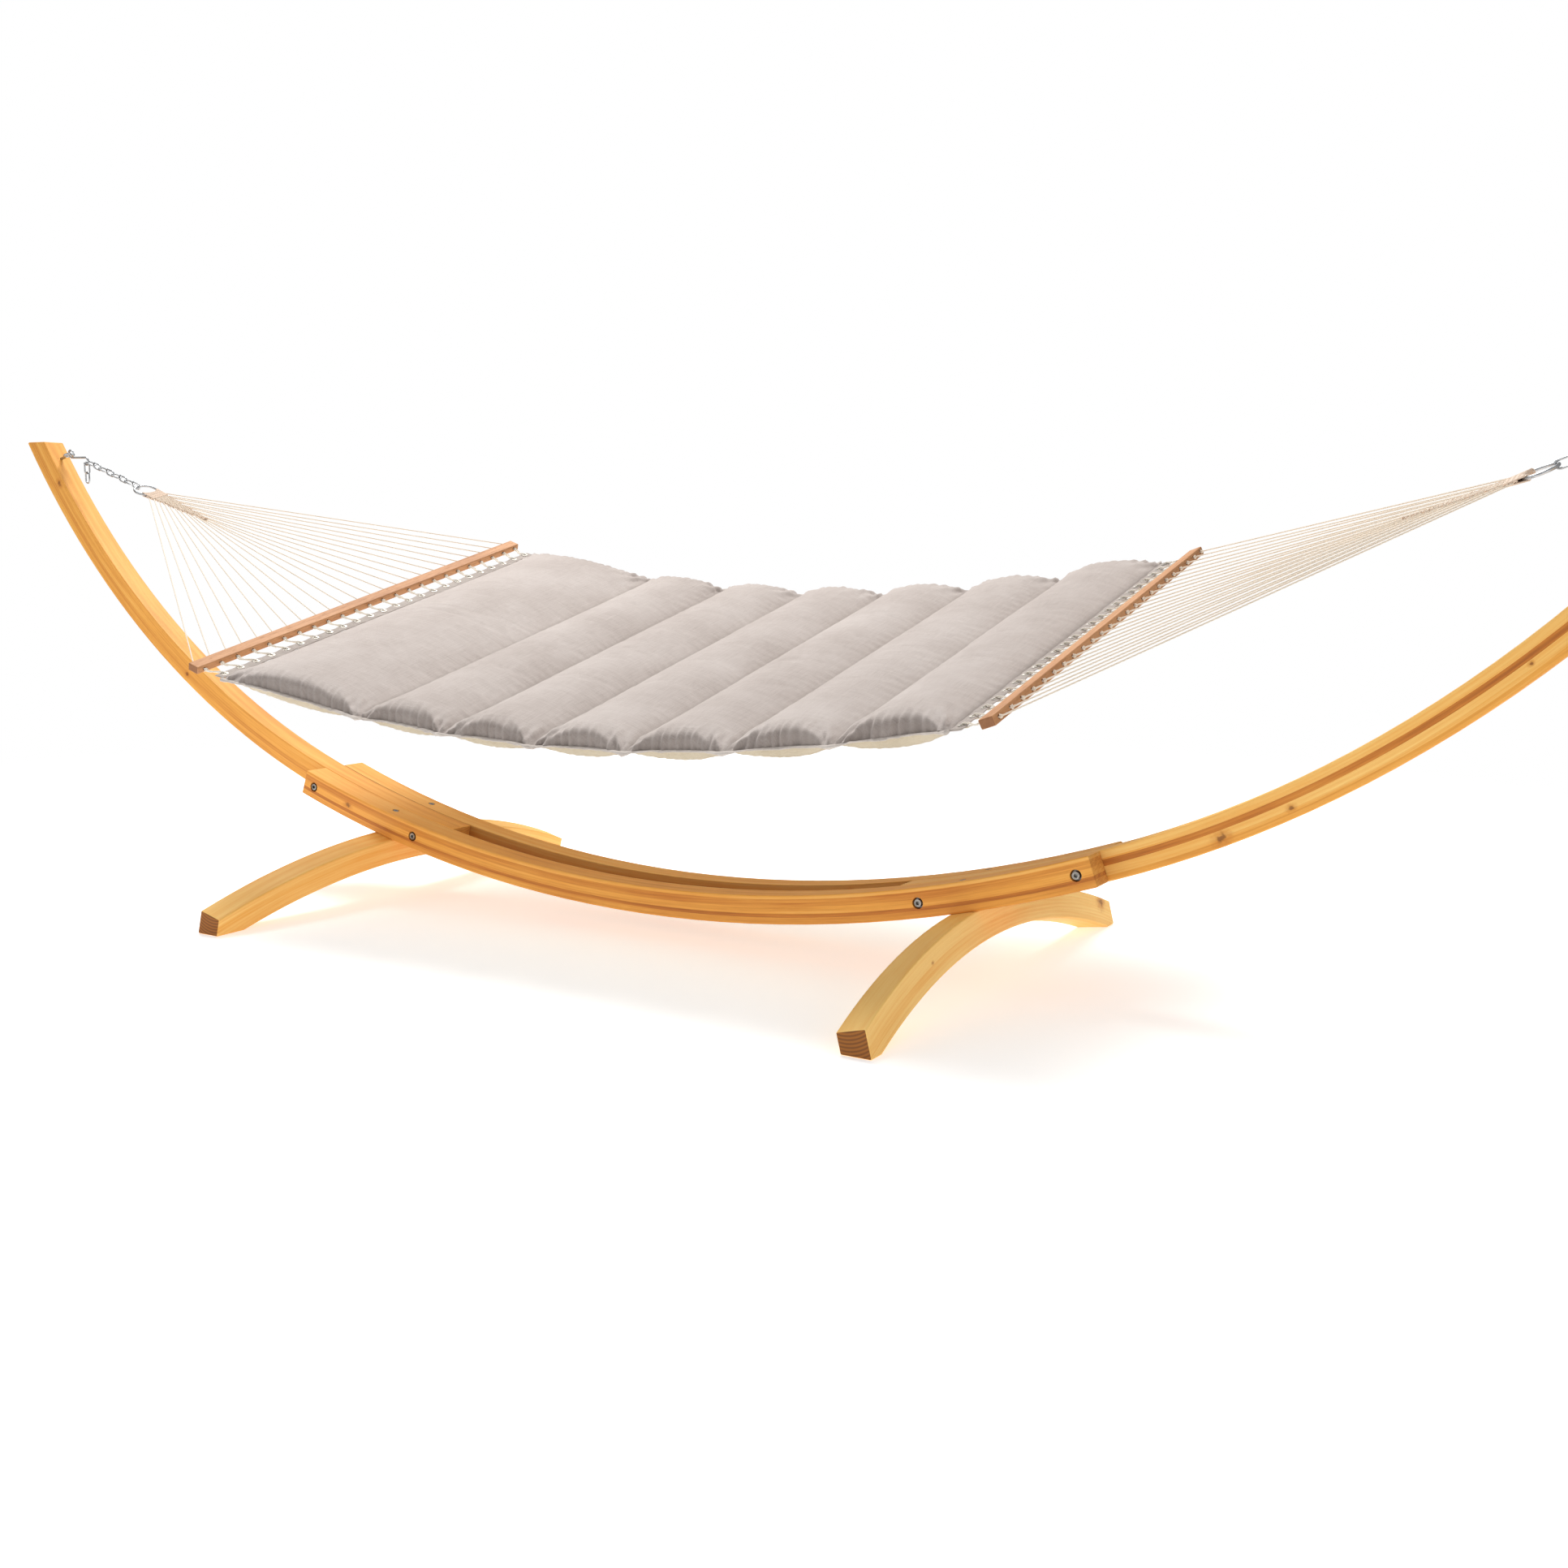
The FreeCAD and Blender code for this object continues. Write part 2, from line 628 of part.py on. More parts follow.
cord_radius = size("cord_dia") / 2
half_thick = size("weave_thickness") / 2
ring_grip = size("ring_wire_dia") / 2 + half_thick / 2  # how far the weave wraps over the ring
weave_start = ring_at + size("ring_radius") - ring_grip
weave_end = weave_start + size("weave_length")
weave_corners = [
    on_line(weave_start, -size("weave_width") / 2, -half_thick),
    on_line(weave_end, -size("weave_tip_width") / 2, -half_thick),
    on_line(weave_end, size("weave_tip_width") / 2, -half_thick),
    on_line(weave_start, size("weave_width") / 2, -half_thick),
]
weave_face = Part.Face(Part.makePolygon([*weave_corners, weave_corners[0]]))
weave_shape = weave_face.extrude(UP * size("weave_thickness"))
weave_shape = weave_shape.makeFillet(size("weave_round"), weave_shape.Edges)
nodes["right_clew_weave"] = code_made("right_clew_weave", weave_shape, SWUNG)

face_in = bar_distance - size("bar_width") / 2
face_out = bar_distance + size("bar_width") / 2
knot_radius = size("knot_dia") / 2
cords = []
knots = []
for level in cord_levels:
    share = abs(level) / cord_levels[-1]
    leaves_at = weave_start + size("weave_length") * (1 - share) * size("weave_leave_share")
    taper = 1 - (leaves_at - weave_start) / size("weave_length")
    half_width = size("weave_tip_width") / 2
    half_width += (size("weave_width") - size("weave_tip_width")) / 2 * taper
    start = on_line(leaves_at, math.copysign(half_width - cord_radius, level))
    bend = on_line(face_in - size("cord_lead"), level)
    end = on_line(face_out + knot_radius / 2, level)
    cord = rod(start, bend, cord_radius).fuse(
        [Part.makeSphere(cord_radius, bend), rod(bend, end, cord_radius)]
    )
    cords.append(cord.removeSplitter())
    knots.append(Part.makeSphere(knot_radius, on_line(face_out + knot_radius, level)))
nodes["right_clew_cords"] = code_made("right_clew_cords", Part.makeCompound(cords), SWUNG)
nodes["right_bar_knots"] = code_made("right_bar_knots", Part.makeCompound(knots), SWUNG)

# ---------------------------------------------------------------- bed: its sag line

bed_sag = size("bed_mid_drop") - size("bed_end_drop")
sag_radius = (size("bed_half_span") ** 2 + bed_sag**2) / (2 * bed_sag)
sag_centre_z = sag_radius - size("bed_mid_drop")


def on_sag(x, above=0.0):
    """A point of the bed's sag line at that x, and its distance above the line."""
    radius = sag_radius - above
    angle = math.asin(x / sag_radius)
    return Vector(radius * math.sin(angle), 0, sag_centre_z - radius * math.cos(angle))


# ---------------------------------------------------------------- hems, grommets, lacing

hem_inner = size("bed_half_span") - size("hem_width")
hem_middle_x = size("bed_half_span") - size("hem_width") / 2
hem_slope = math.degrees(math.asin(hem_middle_x / sag_radius))
hem_frame = Placement(on_sag(hem_middle_x), Rotation(Vector(0, 1, 0), -hem_slope))
hem_shape = Part.makeBox(
    size("hem_width"), size("bed_width"), size("hem_thickness"),
    Vector(-size("hem_width") / 2, -size("bed_width") / 2, -size("hem_thickness") / 2),
)
grommet_x = size("hem_width") / 2 - size("grommet_inset")
bed_pitch = (size("bed_width") - 2 * size("bar_end_margin")) / (size("cord_count") - 1)
bed_levels = [level * bed_pitch / cord_pitch for level in cord_levels]
hem_holes = []
grommets = []
for level in bed_levels:
    at = Vector(grommet_x, level, -REACH / 2)
    barrel = Part.makeCylinder(size("grommet_barrel_dia") / 2, REACH, at)
    hem_holes.append(barrel)
    outside = size("hem_thickness") / 2 + size("grommet_flange")
    flanges = Part.makeCylinder(
        size("grommet_flange_dia") / 2, 2 * outside, Vector(grommet_x, level, -outside)
    )
    between_flanges = Part.makeCylinder(
        size("grommet_flange_dia"), size("hem_thickness"),
        Vector(grommet_x, level, -size("hem_thickness") / 2),
    ).cut(barrel)
    bore = Part.makeCylinder(size("grommet_bore_dia") / 2, REACH, at)
    grommets.append(flanges.cut(between_flanges).cut(bore))
hem_shape = hem_shape.cut(Part.makeCompound(hem_holes))
hem_place = SWUNG.multiply(hem_frame)
nodes["right_hem"] = code_made("right_hem", hem_shape, hem_place)
nodes["right_grommets"] = code_made("right_grommets", Part.makeCompound(grommets), hem_place)

lacing_radius = size("lacing_dia") / 2
half_high = size("lacing_half_height")
lacing = []
for bar_level, bed_level in zip(cord_levels, bed_levels):
    start = on_line(face_out + knot_radius, bar_level)
    end = hem_frame.multVec(Vector(grommet_x, bed_level, 0))
    run = (end - start).normalize()
    side = run.cross(ACROSS).normalize()
    first = start + run * half_high
    last = end - run * half_high
    path = Part.Wire([
        Part.Arc(first - side * half_high, first - run * half_high, first + side * half_high).toShape(),
        Part.LineSegment(first + side * half_high, last + side * half_high).toShape(),
        Part.Arc(last + side * half_high, last + run * half_high, last - side * half_high).toShape(),
        Part.LineSegment(last - side * half_high, first - side * half_high).toShape(),
    ])
    section = Part.Wire(Part.makeCircle(lacing_radius, first - side * half_high, run))
    lacing.append(path.makePipeShell([section], True, True))
nodes["right_lacing"] = code_made("right_lacing", Part.makeCompound(lacing), SWUNG)

# ---------------------------------------------------------------- bed: quilted channels

channel_count = int(size("channels"))
other_channel = (2 * hem_inner - size("first_channel")) / (channel_count - 1)
seams = [-hem_inner, -hem_inner + size("first_channel")]
for number in range(channel_count - 1):
    seams.append(seams[-1] + other_channel)
cover = size("cover_thickness")


def puff_arc(left, right, lift, bulge):
    """An arc over one channel: its ends lie lift above the sag line, its crown bulge further."""
    return Part.Arc(
        on_sag(left, lift), on_sag((left + right) / 2, lift + bulge), on_sag(right, lift)
    ).toShape()


def extruded(edges, width):
    face = Part.Face(Part.Wire(Part.__sortEdges__(edges)))
    face.translate(ACROSS * (-width / 2))
    return face.extrude(ACROSS * width)


def cover_shape(bulge, direction):
    """A quilted cover: arcs from seam to seam, one cloth thick, above or below the fill."""
    spans = list(zip(seams[:-1], seams[1:]))
    inner = [puff_arc(left, right, 0, direction * bulge) for left, right in spans]
    outer = [puff_arc(left, right, direction * cover, direction * bulge) for left, right in spans]
    ends = [
        Part.LineSegment(on_sag(x), on_sag(x, direction * cover)).toShape()
        for x in (seams[0], seams[-1])
    ]
    return extruded([*inner, *outer, *ends], size("bed_width"))


nodes["top_cover"] = code_made("top_cover", cover_shape(size("puff_above"), 1), SWUNG)
nodes["bottom_cover"] = code_made("bottom_cover", cover_shape(size("puff_below"), -1), SWUNG)
fill_width = size("bed_width") - 2 * size("fill_inset")
for number, (left, right) in enumerate(zip(seams[:-1], seams[1:]), start=1):
    fill = extruded(
        [puff_arc(left, right, 0, size("puff_above")), puff_arc(left, right, 0, -size("puff_below"))],
        fill_width,
    )
    nodes[f"fill_{number}"] = code_made(f"fill_{number}", fill, SWUNG)

# ---------------------------------------------------------------- left-hand pieces

for name in [name for name in nodes if name.startswith("right_")]:
    left_name = name.replace("right_", "left_", 1)
    nodes[left_name] = mirrored(left_name, nodes[name])

# ---------------------------------------------------------------- checks and files

doc.recompute()
for name, item in nodes.items():
    item.Label = name
failed = [item.Name for item in doc.Objects if {"Invalid", "Error"} & set(item.State)]
for name, item in nodes.items():
    shape = item.Shape
    if shape.isNull() or not shape.isValid() or not shape.Solids:
        failed.append(name)
if failed:
    raise SystemExit(f"failed objects: {failed}")
os.makedirs("parts", exist_ok=True)
for name, item in nodes.items():
    item.Shape.exportStep(os.path.join("parts", f"{name}.step"))
print(len(nodes), "nodes written")
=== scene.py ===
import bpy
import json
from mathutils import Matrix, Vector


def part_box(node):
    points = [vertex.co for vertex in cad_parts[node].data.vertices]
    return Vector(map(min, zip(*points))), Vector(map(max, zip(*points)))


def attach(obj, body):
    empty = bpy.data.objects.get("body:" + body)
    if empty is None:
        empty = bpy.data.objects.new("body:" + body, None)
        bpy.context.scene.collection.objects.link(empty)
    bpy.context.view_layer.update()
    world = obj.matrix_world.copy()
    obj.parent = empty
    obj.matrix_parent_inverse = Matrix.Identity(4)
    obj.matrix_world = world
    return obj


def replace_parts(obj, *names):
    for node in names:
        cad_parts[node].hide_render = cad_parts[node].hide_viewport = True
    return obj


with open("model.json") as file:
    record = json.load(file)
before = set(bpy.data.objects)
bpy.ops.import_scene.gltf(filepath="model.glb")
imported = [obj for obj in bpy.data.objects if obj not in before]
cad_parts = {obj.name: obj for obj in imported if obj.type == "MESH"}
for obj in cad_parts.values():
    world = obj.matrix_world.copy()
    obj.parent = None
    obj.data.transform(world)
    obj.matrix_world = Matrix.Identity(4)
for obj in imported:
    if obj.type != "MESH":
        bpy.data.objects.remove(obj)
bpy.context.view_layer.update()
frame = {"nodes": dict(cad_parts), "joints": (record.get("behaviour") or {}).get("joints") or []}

# Looks of the quilted hammock and its timber stand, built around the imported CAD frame.
# Axes: +X along the stand, +Y across it, +Z up; metres. The hammock's own pieces are drawn in its
# hanging frame, straight down from the line through the eye bolts at the origin's height, and HANG
# swings them to where the CAD stores them. Mirrored pieces are drawn on the right and mirrored in X.

import json
import math

import bpy
import numpy as np
from mathutils import Matrix, Vector, noise

# ---- sizes shared with the CAD model

SWING_JOINT = next(joint for joint in frame["joints"] if joint["name"] == "hammock_swing")
PIVOT_HEIGHT = SWING_JOINT["pos_m"][2]
SWING = math.radians(14)
PIVOT_HALF_SPAN = 2.210
BASE_RADIUS = 3.370
ARM_RADIUS = 2.310
BEAM_DEPTH = 0.068
BASE_CENTRE_Z = 0.058 + BEAM_DEPTH + BASE_RADIUS
BEND = math.radians(19.8)  # where an arm leaves the rails' curve for its own
FOOT_ANGLE = math.radians(14.3)
FOOT_RADIUS = 1.8308
FOOT_CROWN = 0.003
BAR_HALF_SPAN = 1.075
BAR_DROP = 0.432
BAR_LENGTH = 1.270
BAR_WIDTH = 0.032
BAR_END_MARGIN = 0.022
CORDS = 24
CORD_RADIUS = 0.00185
WEAVE_LENGTH = 0.215
WEAVE_HALF_WIDTH = 0.028
WEAVE_TIP_HALF_WIDTH = 0.004
BED_HALF_SPAN = 1.020
BED_END_DROP = 0.452
BED_MID_DROP = 0.565
BED_WIDTH = 1.240
HEM_WIDTH = 0.030
GROMMET_INSET = 0.012
FIRST_CHANNEL = 0.440
CHANNELS = 7

HANG = Matrix.Translation((0, 0, PIVOT_HEIGHT)) @ Matrix.Rotation(SWING, 4, "X")
HANG_BACK = HANG.inverted()
PIVOT = Vector((PIVOT_HALF_SPAN, 0, 0))
BAR_CENTRE = Vector((BAR_HALF_SPAN, 0, -BAR_DROP))
ALONG = (BAR_CENTRE - PIVOT).normalized()
ACROSS = Vector((0, 1, 0))
UP = Vector((ALONG.z, 0, -ALONG.x))
BAR_DISTANCE = (BAR_CENTRE - PIVOT).length
SIDES = {"right": 1, "left": -1}

ring_low, ring_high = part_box("right_ring")
ring_centre = HANG_BACK @ ((ring_low + ring_high) / 2)
RING_AT = (ring_centre - PIVOT).dot(ALONG)
RING_RADIUS = 0.032
RING_WIRE = 0.0035
WEAVE_START = RING_AT + RING_RADIUS


def on_line(distance, across=0.0, up=0.0):
    """A point at that distance from the eye towards the bar, in the hammock's hanging frame."""
    return PIVOT + ALONG * distance + ACROSS * across + UP * up


BED_SAG = BED_MID_DROP - BED_END_DROP
SAG_RADIUS = (BED_HALF_SPAN**2 + BED_SAG**2) / (2 * BED_SAG)
SAG_CENTRE_Z = SAG_RADIUS - BED_MID_DROP
HEM_INNER = BED_HALF_SPAN - HEM_WIDTH


def on_sag(x, y=0.0, above=0.0):
    """A point of the bed's sag line, in the hammock's hanging frame."""
    angle = math.asin(x / SAG_RADIUS)
    radius = SAG_RADIUS - above
    return Vector((radius * math.sin(angle), y, SAG_CENTRE_Z - radius * math.cos(angle)))


# ---- camera, light and floor

scene = bpy.context.scene
scene.view_settings.view_transform = "Standard"

# The camera's place and angles (radians) were fitted to the photo.
CAMERA_PLACE = (2.2837, -3.2535, 0.9520)
AZIMUTH, ELEVATION, ROLL = 0.53884, 0.14701, 0.00787
forward = Vector((
    -math.sin(AZIMUTH) * math.cos(ELEVATION),
    math.cos(AZIMUTH) * math.cos(ELEVATION),
    -math.sin(ELEVATION),
))
level = Vector((math.cos(AZIMUTH), math.sin(AZIMUTH), 0))
raised = level.cross(forward)
right_axis = level * math.cos(ROLL) + raised * math.sin(ROLL)
up_axis = raised * math.cos(ROLL) - level * math.sin(ROLL)
camera_data = bpy.data.cameras.new("camera")
camera_data.lens = 37.58
camera_data.clip_end = 200
camera = bpy.data.objects.new("camera", camera_data)
turn = Matrix((right_axis, up_axis, -forward)).transposed().to_4x4()
camera.matrix_world = Matrix.Translation(CAMERA_PLACE) @ turn
scene.collection.objects.link(camera)
scene.camera = camera


def area_light(name, place, target, size, power, colour=(1, 1, 1)):
    """A square lamp of that size in metres and power in watts, aimed at the target."""
    data = bpy.data.lights.new(name, "AREA")
    data.shape = "SQUARE"
    data.size = size
    data.energy = power
    data.color = colour
    lamp = bpy.data.objects.new(name, data)
    lamp.location = place
    lamp.rotation_euler = (Vector(target) - Vector(place)).to_track_quat("-Z", "Y").to_euler()
    scene.collection.objects.link(lamp)


area_light("key", (-2.6, 3.0, 8.0), (0, 0.1, 0.6), 4.0, 830, (1.0, 0.985, 0.97))
area_light("fill", (-3.2, -4.2, 1.6), (0, 0, 0.2), 3.0, 42)
area_light("side", (5.0, -2.8, 1.2), (0.8, 0, 0.3), 2.4, 34)

# The surroundings look white, and light the scene with less than that.
world = bpy.data.worlds.new("studio")
world.use_nodes = True
scene.world = world
sky = world.node_tree
glow = sky.nodes["Background"]
seen = sky.nodes.new("ShaderNodeBackground")
for background, strength in ((seen, 1.0), (glow, 0.42)):
    background.inputs["Strength"].default_value = strength
    background.inputs["Color"].default_value = (1, 1, 1, 1)
light_path = sky.nodes.new("ShaderNodeLightPath")
either = sky.nodes.new("ShaderNodeMixShader")
sky.links.new(light_path.outputs["Is Camera Ray"], either.inputs[0])
sky.links.new(glow.outputs[0], either.inputs[1])
sky.links.new(seen.outputs[0], either.inputs[2])
sky.links.new(either.outputs[0], sky.nodes["World Output"].inputs["Surface"])

# ---- node material helpers


def srgb(red, green, blue):
    """A linear RGBA colour from the usual 0-255 values."""
    linear = []
    for value in (red, green, blue):
        share = value / 255
        linear.append(share / 12.92 if share <= 0.04045 else ((share + 0.055) / 1.055) ** 2.4)
    return (*linear, 1.0)


class Value:
    """A number that a material's nodes work out: arithmetic on it adds Math nodes."""

    def __init__(self, shader, socket):
        self.shader = shader
        self.socket = socket

    def __add__(self, other):
        return self.shader.math("ADD", self, other)

    def __sub__(self, other):
        return self.shader.math("SUBTRACT", self, other)

    def __rsub__(self, other):
        return self.shader.math("SUBTRACT", other, self)

    def __mul__(self, other):
        return self.shader.math("MULTIPLY", self, other)

    def __truediv__(self, other):
        return self.shader.math("DIVIDE", self, other)

    def __abs__(self):
        return self.shader.math("ABSOLUTE", self)

    __radd__ = __add__


class Shader:
    """A material whose nodes are added by short calls. Inputs are Values, sockets or plain values."""

    def __init__(self, name, roughness=0.5, metallic=0.0):
        self.material = bpy.data.materials.new(name)
        self.material.use_nodes = True
        self.tree = self.material.node_tree
        self.principled = self.tree.nodes["Principled BSDF"]
        self.setting("Roughness", roughness)
        self.setting("Metallic", metallic)

    def node(self, kind, *inputs, **settings):
        item = self.tree.nodes.new(f"ShaderNode{kind}")
        for key, value in settings.items():
            setattr(item, key, value)
        for socket, value in zip(item.inputs, inputs):
            self.feed(socket, value)
        return item

    def feed(self, socket, value):
        if isinstance(value, Value):
            value = value.socket
        if isinstance(value, bpy.types.NodeSocket):
            self.tree.links.new(value, socket)
        elif value is not None:
            socket.default_value = value

    def setting(self, name, value):
        """Sets the surface's own input of that name."""
        self.feed(self.principled.inputs[name], value)

    def math(self, operation, a, b=None, clamp=False):
        return Value(self, self.node("Math", a, b, operation=operation, use_clamp=clamp).outputs[0])

    def smooth(self, value, low, high):
        """0 below low, 1 above high and a soft step between."""
        item = self.node("MapRange", value, low, high, 0.0, 1.0, interpolation_type="SMOOTHSTEP")
        return Value(self, item.outputs[0])

    def mix(self, factor, a, b):
        """Colour a, changing to colour b as the factor goes from 0 to 1."""
        item = self.node("Mix", data_type="RGBA")
        self.feed(item.inputs[0], factor)
        self.feed(item.inputs[6], a)
        self.feed(item.inputs[7], b)
        return item.outputs[2]

    def pick(self, factor, a, b):
        """Number a where the factor is 0 and b where it is 1."""
        item = self.node("Mix", factor, data_type="FLOAT")
        self.feed(item.inputs[2], a)
        self.feed(item.inputs[3], b)
        return Value(self, item.outputs[0])

    def ramp(self, factor, *stops, interpolation="LINEAR"):
        item = self.node("ValToRGB", factor)
        item.color_ramp.interpolation = interpolation
        elements = item.color_ramp.elements
        while len(elements) < len(stops):
            elements.new(0.5)
        for element, (position, colour) in zip(elements, stops):
            element.position = position
            element.color = colour
        return item.outputs[0]

    def vector(self, x, y, z):
        return self.node("CombineXYZ", x, y, z).outputs[0]

    def scaled(self, *pairs):
        """A vector of three coordinates, each given with the factor it is multiplied by."""
        return self.vector(*[part * factor for part, factor in pairs])

    def split(self, vector):
        return [Value(self, part) for part in self.node("SeparateXYZ", vector).outputs[:3]]

    def place(self):
        """Where the point is on its own object, in metres: the same at every pose."""
        return self.node("TexCoord").outputs["Object"]

    def facing(self):
        """The surface's normal on its own object."""
        return self.node("TexCoord").outputs["Normal"]

    def swung_back(self, vector):
        """A direction on the hammock as it lies in the hanging frame. A place comes out shifted by a
        fixed amount, which doesn't matter to a grain or a weave."""
        centre, axis = (0, 0, 0), (1, 0, 0)
        item = self.node("VectorRotate", vector, centre, axis, -SWING, rotation_type="AXIS_ANGLE")
        return item.outputs[0]

    def noise(self, vector, scale=1.0, detail=2.0, rough=0.5):
        item = self.node("TexNoise")
        self.feed(item.inputs["Vector"], vector)
        item.inputs["Scale"].default_value = scale
        item.inputs["Detail"].default_value = detail
        item.inputs["Roughness"].default_value = rough
        return Value(self, item.outputs[0])

    def random(self, value):
        item = self.node("TexWhiteNoise", noise_dimensions="1D")
        self.feed(item.inputs["W"], value)
        return Value(self, item.outputs[0])

    def groove(self):
        """The mesh's own groove attribute, 0 where it has none. The materials darken by it as painted shade.
        """
        return Value(self, self.node("Attribute", attribute_name="groove").outputs["Fac"])

    def bump(self, height, depth):
        """Raises the surface by height times depth metres."""
        item = self.node("Bump")
        item.inputs["Strength"].default_value = 1.0
        item.inputs["Distance"].default_value = depth
        self.feed(item.inputs["Height"], height)
        self.setting("Normal", item.outputs[0])

    def sheen(self, weight):
        """The soft light that fine hairs on cloth or rope catch."""
        self.setting("Sheen Weight", weight)
        self.setting("Sheen Roughness", 0.5)


# ---- timber

PALE = srgb(254, 209, 126)
GOLD = srgb(241, 172, 78)
TAN = srgb(203, 125, 50)
BROWN = srgb(152, 82, 36)
KNOT = srgb(112, 60, 30)
# The sawn ends' dark colour: partly end grain, partly painted shade, made this dark for the feet's end faces.
END_GRAIN_AND_SHADE = srgb(112, 66, 32)
JOINT_PLANE = 0.034  # |y| of the faces where the arms meet the rails
LAMINATION = BEAM_DEPTH / 4
RING_PITCH = 0.0085  # between the growth rings that show as lines along the beam


def arc_coordinates(shader, x, z, centre_x, centre_z, inner):
    """Angle from straight down and depth below the inner face, for a beam bent in the XZ plane."""
    dx = x - centre_x
    dz = centre_z - z
    return shader.math("ARCTAN2", dx, dz), shader.math("SQRT", dx * dx + dz * dz) - inner


def timber_look(shader, along, across, depth, end, tones, knots, seed, end_dark, joint=None):
    """Laminated softwood. tones are the laminations' shades from the top face down, 0 pale to 1
    brown; a knot is its place along the beam, its depth and its radius. end is 1 on sawn end faces,
    and end_dark how much their dark colour shows, which is partly end grain and partly painted
    shade. joint is the place across the stand, given only where dirt gathers along the arms' joints
    with the rails."""
    layer = shader.math("FLOOR", depth / LAMINATION)
    shift = shader.random(layer + seed) * 7.0
    run = along + shift
    wander = shader.noise(shader.vector(run * 1.1, shift, seed), 1.0, 2.0)
    ring_depth = depth + across * 0.35 + wander * 0.035
    rings = shader.math("SINE", ring_depth * (2 * math.pi / RING_PITCH))
    streaks = shader.noise(shader.scaled((run, 2.2), (across, 60), (depth, 90)), 1.0, 4.0, 0.6)
    fibres = shader.noise(shader.scaled((run, 22), (across, 900), (depth, 900)), 1.0, 2.0, 0.6)
    blotches = shader.noise(shader.scaled((run, 3.2), (across, 9), (depth, 14)), 1.0, 2.0)
    stops = [(number / len(tones), (tone, tone, tone, 1)) for number, tone in enumerate(tones)]
    layer_tone = Value(shader, shader.ramp(depth / BEAM_DEPTH, *stops, interpolation="CONSTANT"))
    shade = layer_tone + (streaks - 0.5) * 0.62 + rings * 0.035
    shade += (blotches - 0.5) * 0.34 + (fibres - 0.5) * 0.26
    colour = shader.ramp(shade, (0.0, PALE), (0.42, GOLD), (0.75, TAN), (1.0, BROWN))
    for place, knot_depth, radius in knots:
        warp = (shader.noise(shader.vector(along, across, depth), 110, 3.0) - 0.5) * 2.2
        du = (along - place) / (1.25 * radius)
        dv = (depth - knot_depth) / radius
        distance = shader.math("SQRT", du * du + dv * dv) + warp
        halo = 1.0 - shader.smooth(distance, 0.7, 2.6)
        core = 1.0 - shader.smooth(distance, 0.3, 1.1)
        colour = shader.mix(halo * 0.55, colour, TAN)
        colour = shader.mix(core * 0.7, colour, KNOT)
    arcs = shader.math("SINE", (depth + across * across * 6) * 900)
    # The sawn ends' colour: end grain rings, partly painted shade.
    sawn = shader.mix(arcs * 0.2 + 0.78, TAN, END_GRAIN_AND_SHADE)
    colour = shader.mix(end * end_dark, colour, sawn)
    if joint is not None:
        clean = shader.smooth(abs(abs(joint) - JOINT_PLANE), 0.0008, 0.003)
        colour = shader.mix(0.55 - clean * 0.55, colour, KNOT)
    shader.setting("Base Color", colour)
    shader.setting("Roughness", streaks * 0.12 + end * 0.25 + 0.50)
    shader.bump(fibres * 0.6 + rings * 0.25, 0.00025)
    shader.setting("Specular IOR Level", 0.25)
    shader.setting("Coat Weight", 0.06)
    shader.setting("Coat Roughness", 0.3)


def lengthwise(shader, slope, side=1):
    """How far the surface faces along a beam that slopes like that, 1 on a square sawn end."""
    x, _, z = shader.split(shader.facing())
    return abs(x * side * shader.math("COSINE", slope) + z * shader.math("SINE", slope))


def rail_material(name, tones, knots, seed):
    """Timber bent to the rails' one arc."""
    shader = Shader(name)
    x, y, z = shader.split(shader.place())
    angle, depth = arc_coordinates(shader, x, z, 0.0, BASE_CENTRE_Z, BASE_RADIUS)
    end = shader.smooth(lengthwise(shader, angle), 0.7, 0.85)
    timber_look(shader, angle * BASE_RADIUS, y, depth, end, tones, knots, seed, 0.35, joint=y)
    return shader.material


def arm_material(name, side, tones, knots, seed):
    """Timber bent to the rails' arc between them and to the arm's own arc above. side is 1 on the
    right and -1 on the left."""
    shader = Shader(name)
    x, y, z = shader.split(shader.place())
    x = x * side
    low_angle, low_depth = arc_coordinates(shader, x, z, 0.0, BASE_CENTRE_Z, BASE_RADIUS)
    centre_x = (BASE_RADIUS - ARM_RADIUS) * math.sin(BEND)
    centre_z = BASE_CENTRE_Z - (BASE_RADIUS - ARM_RADIUS) * math.cos(BEND)
    high_angle, high_depth = arc_coordinates(shader, x, z, centre_x, centre_z, ARM_RADIUS)
    above = shader.math("GREATER_THAN", high_angle, BEND)
    high_along = (high_angle - BEND) * ARM_RADIUS + BEND * BASE_RADIUS
    along = shader.pick(above, low_angle * BASE_RADIUS, high_along)
    depth = shader.pick(above, low_depth, high_depth)
    slope = shader.pick(above, low_angle, high_angle)
    end = shader.smooth(lengthwise(shader, slope, side), 0.6, 0.8)
    timber_look(shader, along, y, depth, end, tones, knots, seed, 0.5)
    return shader.material


def foot_material(name, side, tones, knots, seed):
    """Timber arched across the stand, tilted to sit square under the rails."""
    shader = Shader(name)
    x, y, z = shader.split(shader.place())
    outer = BASE_RADIUS + BEAM_DEPTH
    cosine, sine = math.cos(FOOT_ANGLE), math.sin(FOOT_ANGLE)
    dx = x * side - outer * sine
    dz = z - (BASE_CENTRE_Z - outer * cosine)
    across = dx * cosine + dz * sine
    to_centre = dz * cosine - dx * sine + (FOOT_RADIUS - FOOT_CROWN)
    depth = FOOT_RADIUS - shader.math("SQRT", y * y + to_centre * to_centre)
    along = shader.math("ARCTAN2", y, to_centre) * FOOT_RADIUS
    _, normal_y, _ = shader.split(shader.facing())
    end = shader.smooth(abs(normal_y), 0.7, 0.9)
    # The feet's sawn ends take nearly all of the dark end colour: partly end grain, partly painted shade.
    timber_look(shader, along, across, depth, end, tones, knots, seed, 0.97)
    return shader.material


